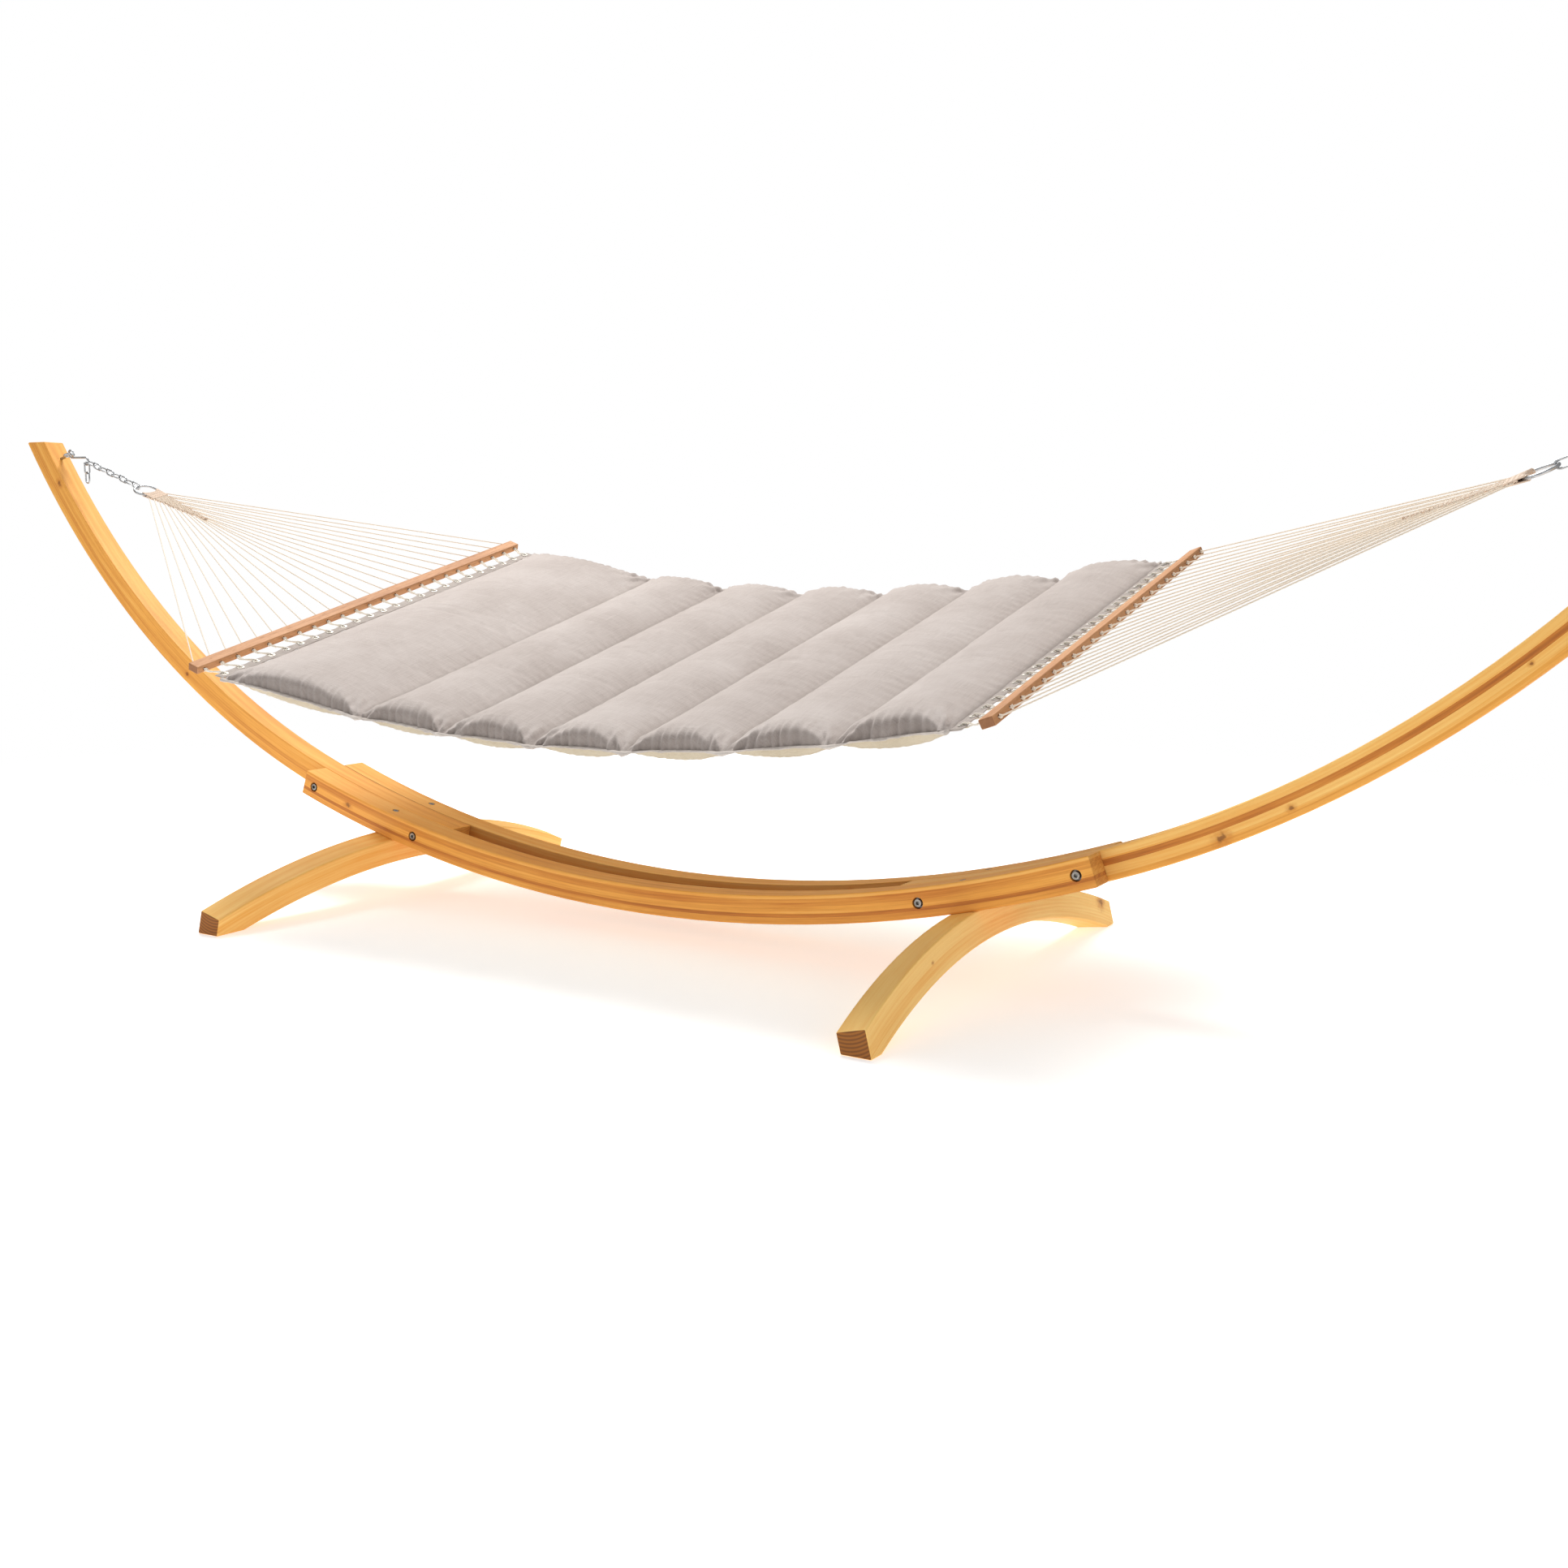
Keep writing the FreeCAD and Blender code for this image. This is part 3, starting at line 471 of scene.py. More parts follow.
def bar_material():
    """Oiled hardwood with straight open grain along the bar."""
    shader = Shader("oak")
    x, y, z = shader.split(shader.swung_back(shader.place()))
    streaks = shader.noise(shader.scaled((x, 90), (y, 5), (z, 90)), 1.0, 4.0, 0.65)
    pores = shader.noise(shader.scaled((x, 900), (y, 40), (z, 900)), 1.0, 2.0)
    broad = shader.noise(shader.scaled((x, 12), (y, 1.6), (z, 12)), 1.0, 2.0)
    grain = shader.ramp(
        streaks * 0.55 + broad * 0.35 + pores * 0.15,
        (0.25, srgb(222, 172, 128)), (0.5, srgb(199, 145, 100)), (0.75, srgb(158, 105, 66)),
    )
    open_pores = shader.smooth(pores, 0.62, 0.72)
    grain = shader.mix(open_pores * 0.5, grain, srgb(128, 84, 60))
    _, normal_y, _ = shader.split(shader.swung_back(shader.facing()))
    end = shader.smooth(abs(normal_y), 0.7, 0.9)
    shader.setting("Base Color", shader.mix(end * 0.75, grain, srgb(128, 84, 56)))
    shader.setting("Roughness", pores * 0.15 + 0.52)
    shader.setting("Specular IOR Level", 0.25)
    shader.bump(open_pores * -0.8 + streaks * 0.3, 0.0003)
    return shader.material


# ---- metal


def steel_material(name, light, dark, roughness):
    """Galvanised steel with faint blotches and a fine grain."""
    shader = Shader(name, roughness, metallic=1.0)
    place = shader.place()
    blotch = shader.noise(place, 60, 3.0, 0.6)
    fine = shader.noise(place, 900, 2.0)
    colour = shader.ramp(blotch * 0.7 + fine * 0.3, (0.3, dark), (0.62, light))
    shader.setting("Base Color", colour)
    shader.setting("Roughness", blotch * 0.2 + fine * 0.08 + (roughness - 0.1))
    shader.bump(fine, 0.00008)
    return shader.material


# ---- cloth and rope

THREAD_PITCH = 0.0011
# Colours of painted shade: on the channels' steep ends and along the seams.
SHADED_END = srgb(86, 70, 62)
SHADED_SEAM = srgb(104, 88, 78)


def woven_material(name, pale, mid, deep, slub=0.5, end_shade=0.0, seam_shade=0.0):
    """Plain-woven cloth in heathered yarn; its threads run along the bed and across it. slub is how
    uneven the yarn is, end_shade how much painted shade darkens the steep, gathered cloth that
    closes the channels' ends, and seam_shade how much painted shade darkens the cloth along the
    stitched seams."""
    shader = Shader(name, 0.9)
    place = shader.swung_back(shader.place())
    x, y, z = shader.split(place)
    warp_yarn = shader.noise(shader.scaled((x, 14), (y, 700), (z, 30)), 1.0, 3.0, 0.7)
    weft_yarn = shader.noise(shader.scaled((x, 700), (y, 14), (z, 700)), 1.0, 3.0, 0.7)
    cloud = shader.noise(place, 5.0, 3.0, 0.6)
    warp = shader.math("SINE", x * (2 * math.pi / THREAD_PITCH))
    weft = shader.math("SINE", y * (2 * math.pi / THREAD_PITCH))
    weave = warp * weft
    shade = warp_yarn * slub + weft_yarn * slub + cloud * 0.45 + weave * 0.05
    palest, spread = 0.09 + slub * 0.35, 0.36 + slub * 0.80
    level = shader.math("DIVIDE", shade - palest, spread, clamp=True)
    colour = shader.ramp(level, (0.15, deep), (0.5, mid), (0.85, pale))
    # Painted shade: steep cloth, as at the channels' ends, is darkened towards SHADED_END.
    if end_shade:
        _, normal_y, _ = shader.split(shader.swung_back(shader.facing()))
        steep = shader.smooth(abs(normal_y), 0.30, 0.85)
        colour = shader.mix(steep * end_shade, colour, SHADED_END)
    # Painted shade: the cloth is darkened along the seams, by the groove attribute, towards SHADED_SEAM.
    if seam_shade:
        colour = shader.mix(shader.groove() * seam_shade, colour, SHADED_SEAM)
    shader.setting("Base Color", colour)
    shader.bump(weave * 0.5 + warp_yarn + weft_yarn, 0.00035)
    shader.sheen(0.25)
    shader.setting("Specular IOR Level", 0.2)
    return shader.material


def rope_material(name, pale, deep):
    """Twisted spun rope: the grooves between its strands are darkened as painted shade, and it is hairy."""
    shader = Shader(name, 0.85)
    place = shader.place()
    hairs = shader.noise(place, 1500, 2.0, 0.7)
    dirt = shader.noise(place, 18, 2.0)
    # The groove term is painted shade between the strands; hairs and dirt are the rope's own tone.
    shade = shader.groove() * 0.7 + hairs * 0.25 + dirt * 0.25
    shader.setting("Base Color", shader.ramp(shade, (0.2, pale), (0.95, deep)))
    shader.bump(hairs, 0.0002)
    shader.sheen(0.2)
    return shader.material


def floor_material():
    """White, and fading away into the white surroundings a few metres out."""
    shader = Shader("floor", 0.85)
    place = shader.place()
    speck = shader.noise(place, 3, 2.0)
    shader.setting("Base Color", shader.mix(speck, (0.90, 0.90, 0.90, 1), (0.93, 0.93, 0.925, 1)))
    shader.setting("Emission Color", (1, 1, 1, 1))
    shader.setting("Emission Strength", 0.44)
    distance = shader.node("VectorMath", place, operation="LENGTH").outputs["Value"]
    shader.setting("Alpha", 1.0 - shader.smooth(distance, 2.4, 4.2))
    return shader.material


materials = {
    "front_rail": rail_material(
        "timber_front", (0.38, 0.66, 0.62, 0.48, 0.46, 0.78, 0.56, 0.54), ((-0.98, 0.030, 0.007),), 1.3
    ),
    "rear_rail": rail_material("timber_rear", (0.35, 0.5, 0.42, 0.60, 0.5), ((0.5, 0.02, 0.007),), 4.1),
    "right_arm": arm_material(
        "timber_right_arm", 1, (0.20, 0.24, 0.27, 0.78, 0.78, 0.26, 0.20, 0.30, 0.50, 0.46),
        ((1.40, 0.050, 0.010), (1.55, 0.046, 0.005), (2.05, 0.040, 0.003)), 7.7,
    ),
    "left_arm": arm_material(
        "timber_left_arm", -1, (0.44, 0.50, 0.46, 0.58, 0.50, 0.46),
        ((2.52, 0.020, 0.008), (1.75, 0.045, 0.006)), 2.9,
    ),
    "right_foot": foot_material(
        "timber_right_foot", 1, (0.04, 0.10, 0.18, 0.12), ((0.61, 0.012, 0.012), (-0.35, 0.03, 0.003)), 5.2
    ),
    "left_foot": foot_material(
        "timber_left_foot", -1, (0.20, 0.33, 0.24, 0.28), ((0.2, 0.02, 0.005),), 8.6
    ),
}
oak = bar_material()
zinc = steel_material("zinc_steel", srgb(206, 208, 210), srgb(138, 141, 144), 0.34)
bolt_steel = steel_material("bolt_steel", srgb(176, 174, 170), srgb(92, 88, 82), 0.42)
grommet_steel = steel_material("grommet_steel", srgb(196, 192, 184), srgb(120, 114, 106), 0.36)
top_cloth = woven_material(
    "top_cloth", srgb(222, 212, 206), srgb(200, 188, 181), srgb(162, 149, 141), end_shade=0.46,
    seam_shade=0.5,
)
under_cloth = woven_material(
    "under_cloth", srgb(226, 215, 192), srgb(208, 195, 170), srgb(184, 170, 144), slub=0.3,
    seam_shade=0.5,
)
hem_cloth = woven_material(
    "hem_cloth", srgb(204, 194, 186), srgb(180, 168, 160), srgb(150, 138, 130), slub=0.4
)
seam_cloth = woven_material(
    "seam_cloth", srgb(232, 224, 216), srgb(208, 197, 188), srgb(166, 152, 142), slub=0.4
)
rope = rope_material("rope", srgb(252, 242, 228), srgb(214, 196, 172))
weave_rope = rope_material("weave_rope", srgb(246, 226, 206), srgb(196, 168, 144))
lacing_rope = rope_material("lacing_rope", srgb(255, 252, 244), srgb(206, 192, 170))

# ---- mesh helpers


def add_piece(name, points, faces, material, body, groove=None, hanging=True):
    """A smooth mesh that rides on a body. Its points are in the hammock's hanging frame, or where
    hanging is False in the scene's. groove gives each point's depth in a groove, 0 to 1."""
    mesh = bpy.data.meshes.new(name)
    mesh.from_pydata([tuple(point) for point in points], [], [tuple(face) for face in faces])
    if hanging:
        mesh.transform(HANG)
    mesh.polygons.foreach_set("use_smooth", [True] * len(mesh.polygons))
    if groove is not None:
        attribute = mesh.attributes.new("groove", "FLOAT", "POINT")
        attribute.data.foreach_set("value", np.asarray(groove, dtype=np.float32))
    mesh.materials.append(material)
    mesh.update()
    piece = bpy.data.objects.new(name, mesh)
    scene.collection.objects.link(piece)
    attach(piece, body)
    return piece


def apply_modifiers(piece):
    """Turns what the modifiers make into the piece's own mesh."""
    bpy.context.view_layer.update()
    graph = bpy.context.evaluated_depsgraph_get()
    made = bpy.data.meshes.new_from_object(piece.evaluated_get(graph))
    piece.modifiers.clear()
    piece.data = made


class Strands:
    """Collects round twisted strands into one mesh, with how deep each point lies in a groove."""

    def __init__(self, sides=8):
        self.sides = sides
        self.points = []
        self.faces = []
        self.groove = []

    def add(self, path, radius, pitch=0.011, lobes=3, depth=0.13, closed=False, mirror=1):
        """A strand along the path's points. Its section has lobes, depth deep for a radius of 1,
        that pass once a pitch; mirror is -1 for the same strand mirrored in X."""
        path = np.asarray(path, dtype=float) * (mirror, 1, 1)
        count = len(path)
        if closed:
            tangents = np.roll(path, -1, axis=0) - np.roll(path, 1, axis=0)
        else:
            tangents = np.gradient(path, axis=0)
        tangents /= np.linalg.norm(tangents, axis=1)[:, None]
        steps = np.linalg.norm(np.diff(path, axis=0), axis=1)
        travelled = np.concatenate(([0.0], np.cumsum(steps)))
        start = np.array((0.0, 0.0, 1.0)) if abs(tangents[0][2]) < 0.9 else np.array((0.0, 1.0, 0.0))
        normal = np.cross(tangents[0], start)
        normal /= np.linalg.norm(normal)
        first = len(self.points)
        around = np.arange(self.sides) * 2 * math.pi / self.sides
        for index in range(count):
            tangent = tangents[index]
            normal = normal - tangent * normal.dot(tangent)
            normal /= np.linalg.norm(normal)
            other = np.cross(tangent, normal)
            twist = mirror * 2 * math.pi * travelled[index] / (pitch * lobes)
            phase = lobes * (around - twist)
            wave = np.cos(phase)
            reach = radius * (1 - depth + depth * wave)
            ring = path[index] + np.outer(reach * np.cos(around), normal)
            ring += np.outer(reach * np.sin(around), other)
            self.points.extend(ring)
            self.groove.extend(0.5 - 0.5 * wave)
        rows = count if closed else count - 1
        for row in range(rows):
            for column in range(self.sides):
                beside = (column + 1) % self.sides
                above = first + ((row + 1) % count) * self.sides
                here = first + row * self.sides
                self.faces.append((here + column, here + beside, above + beside, above + column))
        if not closed:
            last = first + (count - 1) * self.sides
            self.faces.append(tuple(first + column for column in reversed(range(self.sides))))
            self.faces.append(tuple(last + column for column in range(self.sides)))

    def piece(self, name, material, body, slot):
        return add_piece(name, self.points, self.faces, material, body, self.groove)


def straight(start, end, step):
    """Points on a line, about a step apart, ends included."""
    count = max(2, int((end - start).length / step) + 1)
    return [start.lerp(end, number / (count - 1)) for number in range(count)]


def curve_through(points, step):
    """Evenly stepped points of a Catmull-Rom curve through the given points."""
    path = []
    padded = [points[0] * 2 - points[1], *points, points[-1] * 2 - points[-2]]
    for number in range(1, len(padded) - 2):
        a, b, c, d = padded[number - 1:number + 3]
        count = max(2, int((c - b).length / step))
        for part in range(count):
            t = part / count
            path.append(
                b + (c - a) * (t / 2) + (a * 2 - b * 5 + c * 4 - d) * (t * t / 2)
                + (b * 3 - a - c * 3 + d) * (t**3 / 2)
            )
    path.append(points[-1])
    return path


def knot_path(centre, axis, size, roll=0.0, steps=42):
    """A trefoil, the path of a small overhand knot: its axis lies along the cord, and roll turns it
    about the cord. Its outer radius is three times size."""
    side = axis.cross(Vector((0.3, 0.2, 1))).normalized()
    other = axis.cross(side)
    path = []
    for number in range(steps):
        angle = 2 * math.pi * number / steps
        radius = 2 + math.cos(3 * angle)
        turned = 2 * angle + roll
        place = side * (radius * math.cos(turned)) + other * (radius * math.sin(turned))
        path.append(centre + (place + axis * (1.5 * math.sin(3 * angle))) * size)
    return path


# Across the hammock, the places of the bar's holes and of the hem's grommets.
CORD_LEVELS = [
    ((number / (CORDS - 1)) * 2 - 1) * (BAR_LENGTH / 2 - BAR_END_MARGIN) for number in range(CORDS)
]
BED_LEVELS = [
    ((number / (CORDS - 1)) * 2 - 1) * (BED_WIDTH / 2 - BAR_END_MARGIN) for number in range(CORDS)
]

# ---- clew: woven cords and fan

CORD_STEP = 0.0045
LOOP_STEP = 0.0025
KNOT_SIZE = 0.00125
KNOT_PITCH = 0.008
WEAVE_PITCH = 0.009
LOOP_RADIUS = RING_WIRE + CORD_RADIUS * 0.9
LOOP_POINTS = 9
LAYER = 0.0016  # cords lie in two layers, this far above and below the clew's own plane
WEAVE_ROWS = 25
CROSSING_WIDTH = 0.0036  # half a wave of a row that weaves over and under
SELVEDGE_POINTS = 110
BAR_IN = BAR_DISTANCE - BAR_WIDTH / 2
BAR_OUT = BAR_DISTANCE + BAR_WIDTH / 2


def warp_place(level):
    """Across the weave, the place of the cord that fans out to that level of the bar."""
    return level / CORD_LEVELS[-1] * (WEAVE_HALF_WIDTH - 1.2 * CORD_RADIUS)


def leaving_distance(level):
    """How far along the weave that cord leaves it: the outermost cords leave first."""
    share = abs(level) / CORD_LEVELS[-1]
    return WEAVE_START + WEAVE_LENGTH * (1 - share) * 0.95


def weave_half_width(share):
    """Half the weave's width at that share of its length: it narrows to its tip."""
    return WEAVE_HALF_WIDTH + (WEAVE_TIP_HALF_WIDTH - WEAVE_HALF_WIDTH) * share


def ring_loop(across):
    """The cord's way round the ring, from the upper layer to the lower one."""
    bow = math.sqrt(max(0.0, RING_RADIUS**2 - across**2)) - RING_RADIUS
    loop = []
    for part in range(LOOP_POINTS):
        angle = math.pi / 2 + math.pi * part / (LOOP_POINTS - 1)
        out = WEAVE_START + bow + LOOP_RADIUS * math.cos(angle)
        loop.append(on_line(out, across, LOOP_RADIUS * math.sin(angle)))
    return [
        on_line(WEAVE_START + 0.03, across, LAYER * 1.2),
        on_line(WEAVE_START + 0.012, across, LAYER * 2.0), *loop,
        on_line(WEAVE_START + 0.012, across, -LAYER * 2.0),
        on_line(WEAVE_START + 0.03, across, -LAYER * 1.2),
    ]


def cord_route(level, layer):
    """A suspension cord's way down the weave, out of its side and straight to its hole in the bar."""
    across = warp_place(level)
    leaves = leaving_distance(level)
    route = [on_line(WEAVE_START + 0.026, across, layer)]
    if leaves > WEAVE_START + 0.03:
        start = on_line(WEAVE_START + 0.03, across, layer)
        route += straight(start, on_line(leaves, across, layer), 0.02)
    route.append(on_line(leaves + 0.012, across * 1.03, layer * 0.5))
    bend = on_line(BAR_IN - 0.006, level)
    route += straight(route[-1].lerp(bend, 0.04), bend, 0.06)
    route += [on_line(place, level) for place in (BAR_IN + 0.002, BAR_OUT - 0.002, BAR_OUT + 0.004)]
    return route


def weave_row(row):
    """One row across the weave, over one cord and under the next."""
    share = (row + 0.35) / WEAVE_ROWS
    distance = WEAVE_START + 0.006 + (WEAVE_LENGTH - 0.006) * share
    half = weave_half_width(share)
    waves = max(2, round(half / CROSSING_WIDTH))
    steps = 8 * waves
    route = []
    for step in range(steps + 1):
        across = step / steps * 2 - 1
        lift = 0.0031 * math.sin(math.pi * waves * across + math.pi * row)
        skew = 0.0022 * math.sin(math.pi * waves * across * 0.5 + row * 1.7)
        route.append(on_line(distance + skew, across * half, lift))
    return route


def selvedge(edge):
    """The cord that winds down the weave's edge on that side, where its rows turn back."""
    route = []
    for step in range(SELVEDGE_POINTS + 1):
        share = step / SELVEDGE_POINTS
        angle = math.pi * WEAVE_ROWS * share
        distance = WEAVE_START + 0.004 + (WEAVE_LENGTH - 0.002) * share
        across = edge * (weave_half_width(share) + 0.0012 * math.cos(angle))
        route.append(on_line(distance, across, 0.0026 * math.sin(angle)))
    return route


def make_clew(side_name, mirror):
    """The woven cords below the ring and the 24 that fan out of them to the bar, each knotted there."""
    fan = Strands(sides=9)
    weave = Strands(sides=7)
    for number, level in enumerate(CORD_LEVELS):
        layer = LAYER if number % 2 else -LAYER
        loop = curve_through(ring_loop(warp_place(level)), LOOP_STEP)
        weave.add(loop, CORD_RADIUS, mirror=mirror)
        fan.add(curve_through(cord_route(level, layer), CORD_STEP), CORD_RADIUS, mirror=mirror)
        knot = knot_path(on_line(BAR_IN - 0.0042, level), ALONG, KNOT_SIZE * 0.9, roll=0.9 * number)
        fan.add(knot, CORD_RADIUS * 0.92, closed=True, mirror=mirror, pitch=KNOT_PITCH)
    for row in range(WEAVE_ROWS):
        weave.add(weave_row(row), CORD_RADIUS * 0.95, mirror=mirror, pitch=WEAVE_PITCH)
    for edge in (-1, 1):
        weave.add(selvedge(edge), CORD_RADIUS * 1.05, mirror=mirror, pitch=WEAVE_PITCH)
    tip_knot = knot_path(on_line(WEAVE_START + WEAVE_LENGTH + 0.002), ALONG, 0.0019)
    weave.add(tip_knot, CORD_RADIUS * 1.1, closed=True, mirror=mirror, pitch=KNOT_PITCH)
    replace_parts(fan.piece(f"{side_name}_fan_cords", rope, "hammock", "rope"), f"{side_name}_clew_cords")
    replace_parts(weave.piece(f"{side_name}_weave", weave_rope, "hammock", "rope"), f"{side_name}_clew_weave")


# ---- lacing

HEM_SLOPE = math.asin((BED_HALF_SPAN - HEM_WIDTH / 2) / SAG_RADIUS)
HEM_ALONG = Vector((math.cos(HEM_SLOPE), 0, math.sin(HEM_SLOPE)))
HEM_UP = Vector((-math.sin(HEM_SLOPE), 0, math.cos(HEM_SLOPE)))
HEM_CENTRE = on_sag(BED_HALF_SPAN - HEM_WIDTH / 2)
GROMMET_X = HEM_WIDTH / 2 - GROMMET_INSET
LACING_RADIUS = 0.0020
LACING_PITCH = 0.0085
LACING_STEP = 0.0022
LACING_GAP = 0.0027  # between the loop's two strands and its middle line


def on_hem(outward, y, above=0.0):
    """A point of the hem: outward towards the bar from the hem's middle line."""
    return HEM_CENTRE + HEM_ALONG * outward + HEM_UP * above + ACROSS * y


def lacing_loop(bar_level, bed_level, lean):
    """From the bar over the hem, down through its grommet and back under the hem."""
    gap = LACING_GAP
    return [
        on_line(BAR_OUT + 0.008, bar_level - gap, 0.001),
        on_line(BAR_OUT + 0.018, bar_level - gap * 1.6 + lean, 0.0005),
        on_hem(HEM_WIDTH / 2 + 0.006, bed_level - gap * 1.3 + lean * 0.4, 0.0034),
        on_hem(GROMMET_X + 0.007, bed_level - gap * 0.7, 0.0052),
        on_hem(GROMMET_X + 0.0015, bed_level, 0.0042),
        on_hem(GROMMET_X - 0.0005, bed_level, -0.0002),
        on_hem(GROMMET_X + 0.0015, bed_level + gap * 0.3, -0.0042),
        on_hem(GROMMET_X + 0.007, bed_level + gap * 0.8, -0.0052),
        on_hem(HEM_WIDTH / 2 + 0.006, bed_level + gap * 1.3 + lean * 0.4, -0.0025),
        on_line(BAR_OUT + 0.018, bar_level + gap * 1.7 + lean, -0.002),
        on_line(BAR_OUT + 0.008, bar_level + gap, -0.001),
    ]


def loose_end(bar_level, turn):
    """The short end of cord left over at a knot."""
    return [
        on_line(BAR_OUT + 0.006, bar_level + 0.002, -0.002),
        on_line(BAR_OUT + 0.011, bar_level + 0.006, -0.006 + 0.002 * turn),
        on_line(BAR_OUT + 0.014 + 0.003 * turn, bar_level + 0.012, -0.008),
    ]


def make_lacing(side_name, mirror):
    """Each hole's cord is knotted at the bar's face towards the bed with a short end left over, and
    runs to its grommet and back doubled. The ends and loops differ a little from hole to hole."""
    lacing = Strands(sides=8)
    knots = Strands(sides=7)
    for number, (bar_level, bed_level) in enumerate(zip(CORD_LEVELS, BED_LEVELS)):
        knot_at = on_line(BAR_OUT + 0.0055, bar_level, -0.001)
        knot = knot_path(knot_at, ALONG, KNOT_SIZE * 1.1, roll=1.3 * number)
        knots.add(knot, CORD_RADIUS, closed=True, mirror=mirror, pitch=KNOT_PITCH)
        turn = 0.9 * math.sin(3.7 * number)
        lean = 0.004 * math.sin(2.1 * number)
        for route in (loose_end(bar_level, turn), lacing_loop(bar_level, bed_level, lean)):
            smooth_route = curve_through(route, LACING_STEP)
            lacing.add(smooth_route, LACING_RADIUS, pitch=LACING_PITCH, mirror=mirror)
    laced = lacing.piece(f"{side_name}_lacing_rope", lacing_rope, "hammock", "rope")
    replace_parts(laced, f"{side_name}_lacing")
    tied = knots.piece(f"{side_name}_bar_knot_rope", lacing_rope, "hammock", "rope")
    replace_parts(tied, f"{side_name}_bar_knots")


# ---- hems


HEM_HALF_THICKNESS = 0.0015
HEM_COLUMNS = 24
HEM_ROWS = 372
HOLE_RADIUS = 0.0054
HOLE_SIDES = 20
PUNCH_HEIGHTS = (-0.02, 0.02)


def squarish(value):
    """A sine or cosine made squarer, for a flat section with rounded edges."""
    return math.copysign(abs(value) ** 0.45, value)


def hem_sleeve(seed):
    """The hem's points and faces on the right: a flat sleeve, puckered between the grommets. Each
    side has its own seed, so that the two don't wobble alike."""
    half = HEM_WIDTH / 2
    outline = []
    for column in range(HEM_COLUMNS):
        angle = 2 * math.pi * column / HEM_COLUMNS
        high = HEM_HALF_THICKNESS * squarish(math.sin(angle))
        outline.append((half * squarish(math.cos(angle)), high))
    points = []
    grommet_pitch = BED_LEVELS[1] - BED_LEVELS[0]
    for row in range(HEM_ROWS + 1):
        y = (row / HEM_ROWS - 0.5) * BED_WIDTH
        phase = (y - BED_LEVELS[0]) / grommet_pitch * 2 * math.pi
        pull = 0.5 + 0.5 * math.cos(phase)
        for across, high in outline:
            outer_share = max(0.0, across / half)
            wobble = noise.noise(Vector((y * 30, across * 40, 3.0 * seed)))
            draw = -0.0018 * (1 - pull) * outer_share**2
            lift = (1 - pull) * (0.0010 * math.sin(phase / 2 + 1.2) + 0.0014 * wobble)
            inner_lift = 0.0012 * wobble * (1 - outer_share)
            points.append(on_hem(across + draw, y, high + lift + inner_lift))
    faces = []
    for row in range(HEM_ROWS):
        for column in range(HEM_COLUMNS):
            beside = (column + 1) % HEM_COLUMNS
            here, above = row * HEM_COLUMNS, (row + 1) * HEM_COLUMNS
            faces.append((here + column, above + column, above + beside, here + beside))
    faces.append(tuple(range(HEM_COLUMNS)))
    last = HEM_ROWS * HEM_COLUMNS
    faces.append(tuple(last + column for column in reversed(range(HEM_COLUMNS))))
    return points, faces


def hem_punches():
    """A round rod through each grommet's place on the right."""
    points, faces = [], []
    for y in BED_LEVELS:
        low = len(points)
        high = low + HOLE_SIDES
        for height in PUNCH_HEIGHTS:
            for part in range(HOLE_SIDES):
                angle = 2 * math.pi * part / HOLE_SIDES
                outward = GROMMET_X + HOLE_RADIUS * math.cos(angle)
                points.append(on_hem(outward, y + HOLE_RADIUS * math.sin(angle), height))
        for part in range(HOLE_SIDES):
            beside = (part + 1) % HOLE_SIDES
            faces.append((low + part, low + beside, high + beside, high + part))
        faces.append(tuple(low + part for part in reversed(range(HOLE_SIDES))))
        faces.append(tuple(high + part for part in range(HOLE_SIDES)))
    return points, faces


def make_hem(side_name, mirror):
    """The folded hem that holds the grommets, with a hole for each."""
    parts = []
    for name, (points, faces) in (("hem_band", hem_sleeve(mirror)), ("punch", hem_punches())):
        if mirror < 0:
            points = [Vector((-point.x, point.y, point.z)) for point in points]
            faces = [tuple(reversed(face)) for face in faces]
        parts.append(add_piece(f"{side_name}_{name}", points, faces, hem_cloth, "hammock"))
    hem, cutter = parts
    punch = hem.modifiers.new("holes", "BOOLEAN")
    punch.object = cutter
    punch.solver = "EXACT"
    apply_modifiers(hem)
    bpy.data.objects.remove(cutter)
    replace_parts(hem, f"{side_name}_hem")


# ---- bed

OTHER_CHANNEL = (2 * HEM_INNER - FIRST_CHANNEL) / (CHANNELS - 1)
SEAMS = [-HEM_INNER] + [
    -HEM_INNER + FIRST_CHANNEL + OTHER_CHANNEL * number for number in range(CHANNELS)
]
CELL = 0.0102
# For the cover above (1) and the one below (-1): how far in from the edge a channel's end starts to
# close, and how high the cover stands over the sag line.
END_ROLL = {1: 0.058, -1: 0.042}
PUFF = {1: 0.041, -1: 0.029}
MOST_MOVE = 0.022  # that the cloth may move from the shape it starts in
COVER_GAP = 0.0006
SEAM_REACH = 0.0105  # how far the edge seam stands out
BED_ROWS = round(BED_WIDTH / CELL)


def bed_columns():
    """Where the bed's grid lines run across the channels, and which of them are seams."""
    stations, seams = [], []
    for left, right in zip(SEAMS[:-1], SEAMS[1:]):
        count = round((right - left) / CELL)
        seams.append(len(stations))
        stations += [left + (right - left) * number / count for number in range(count)]
    seams.append(len(stations))
    stations.append(SEAMS[-1])
    return stations, seams


def channel_share(x):
    """How far x is through its channel, from 0 at its left seam to 1 at its right one."""
    for left, right in zip(SEAMS[:-1], SEAMS[1:]):
        if x <= right:
            return (x - left) / (right - left)
    return 1.0


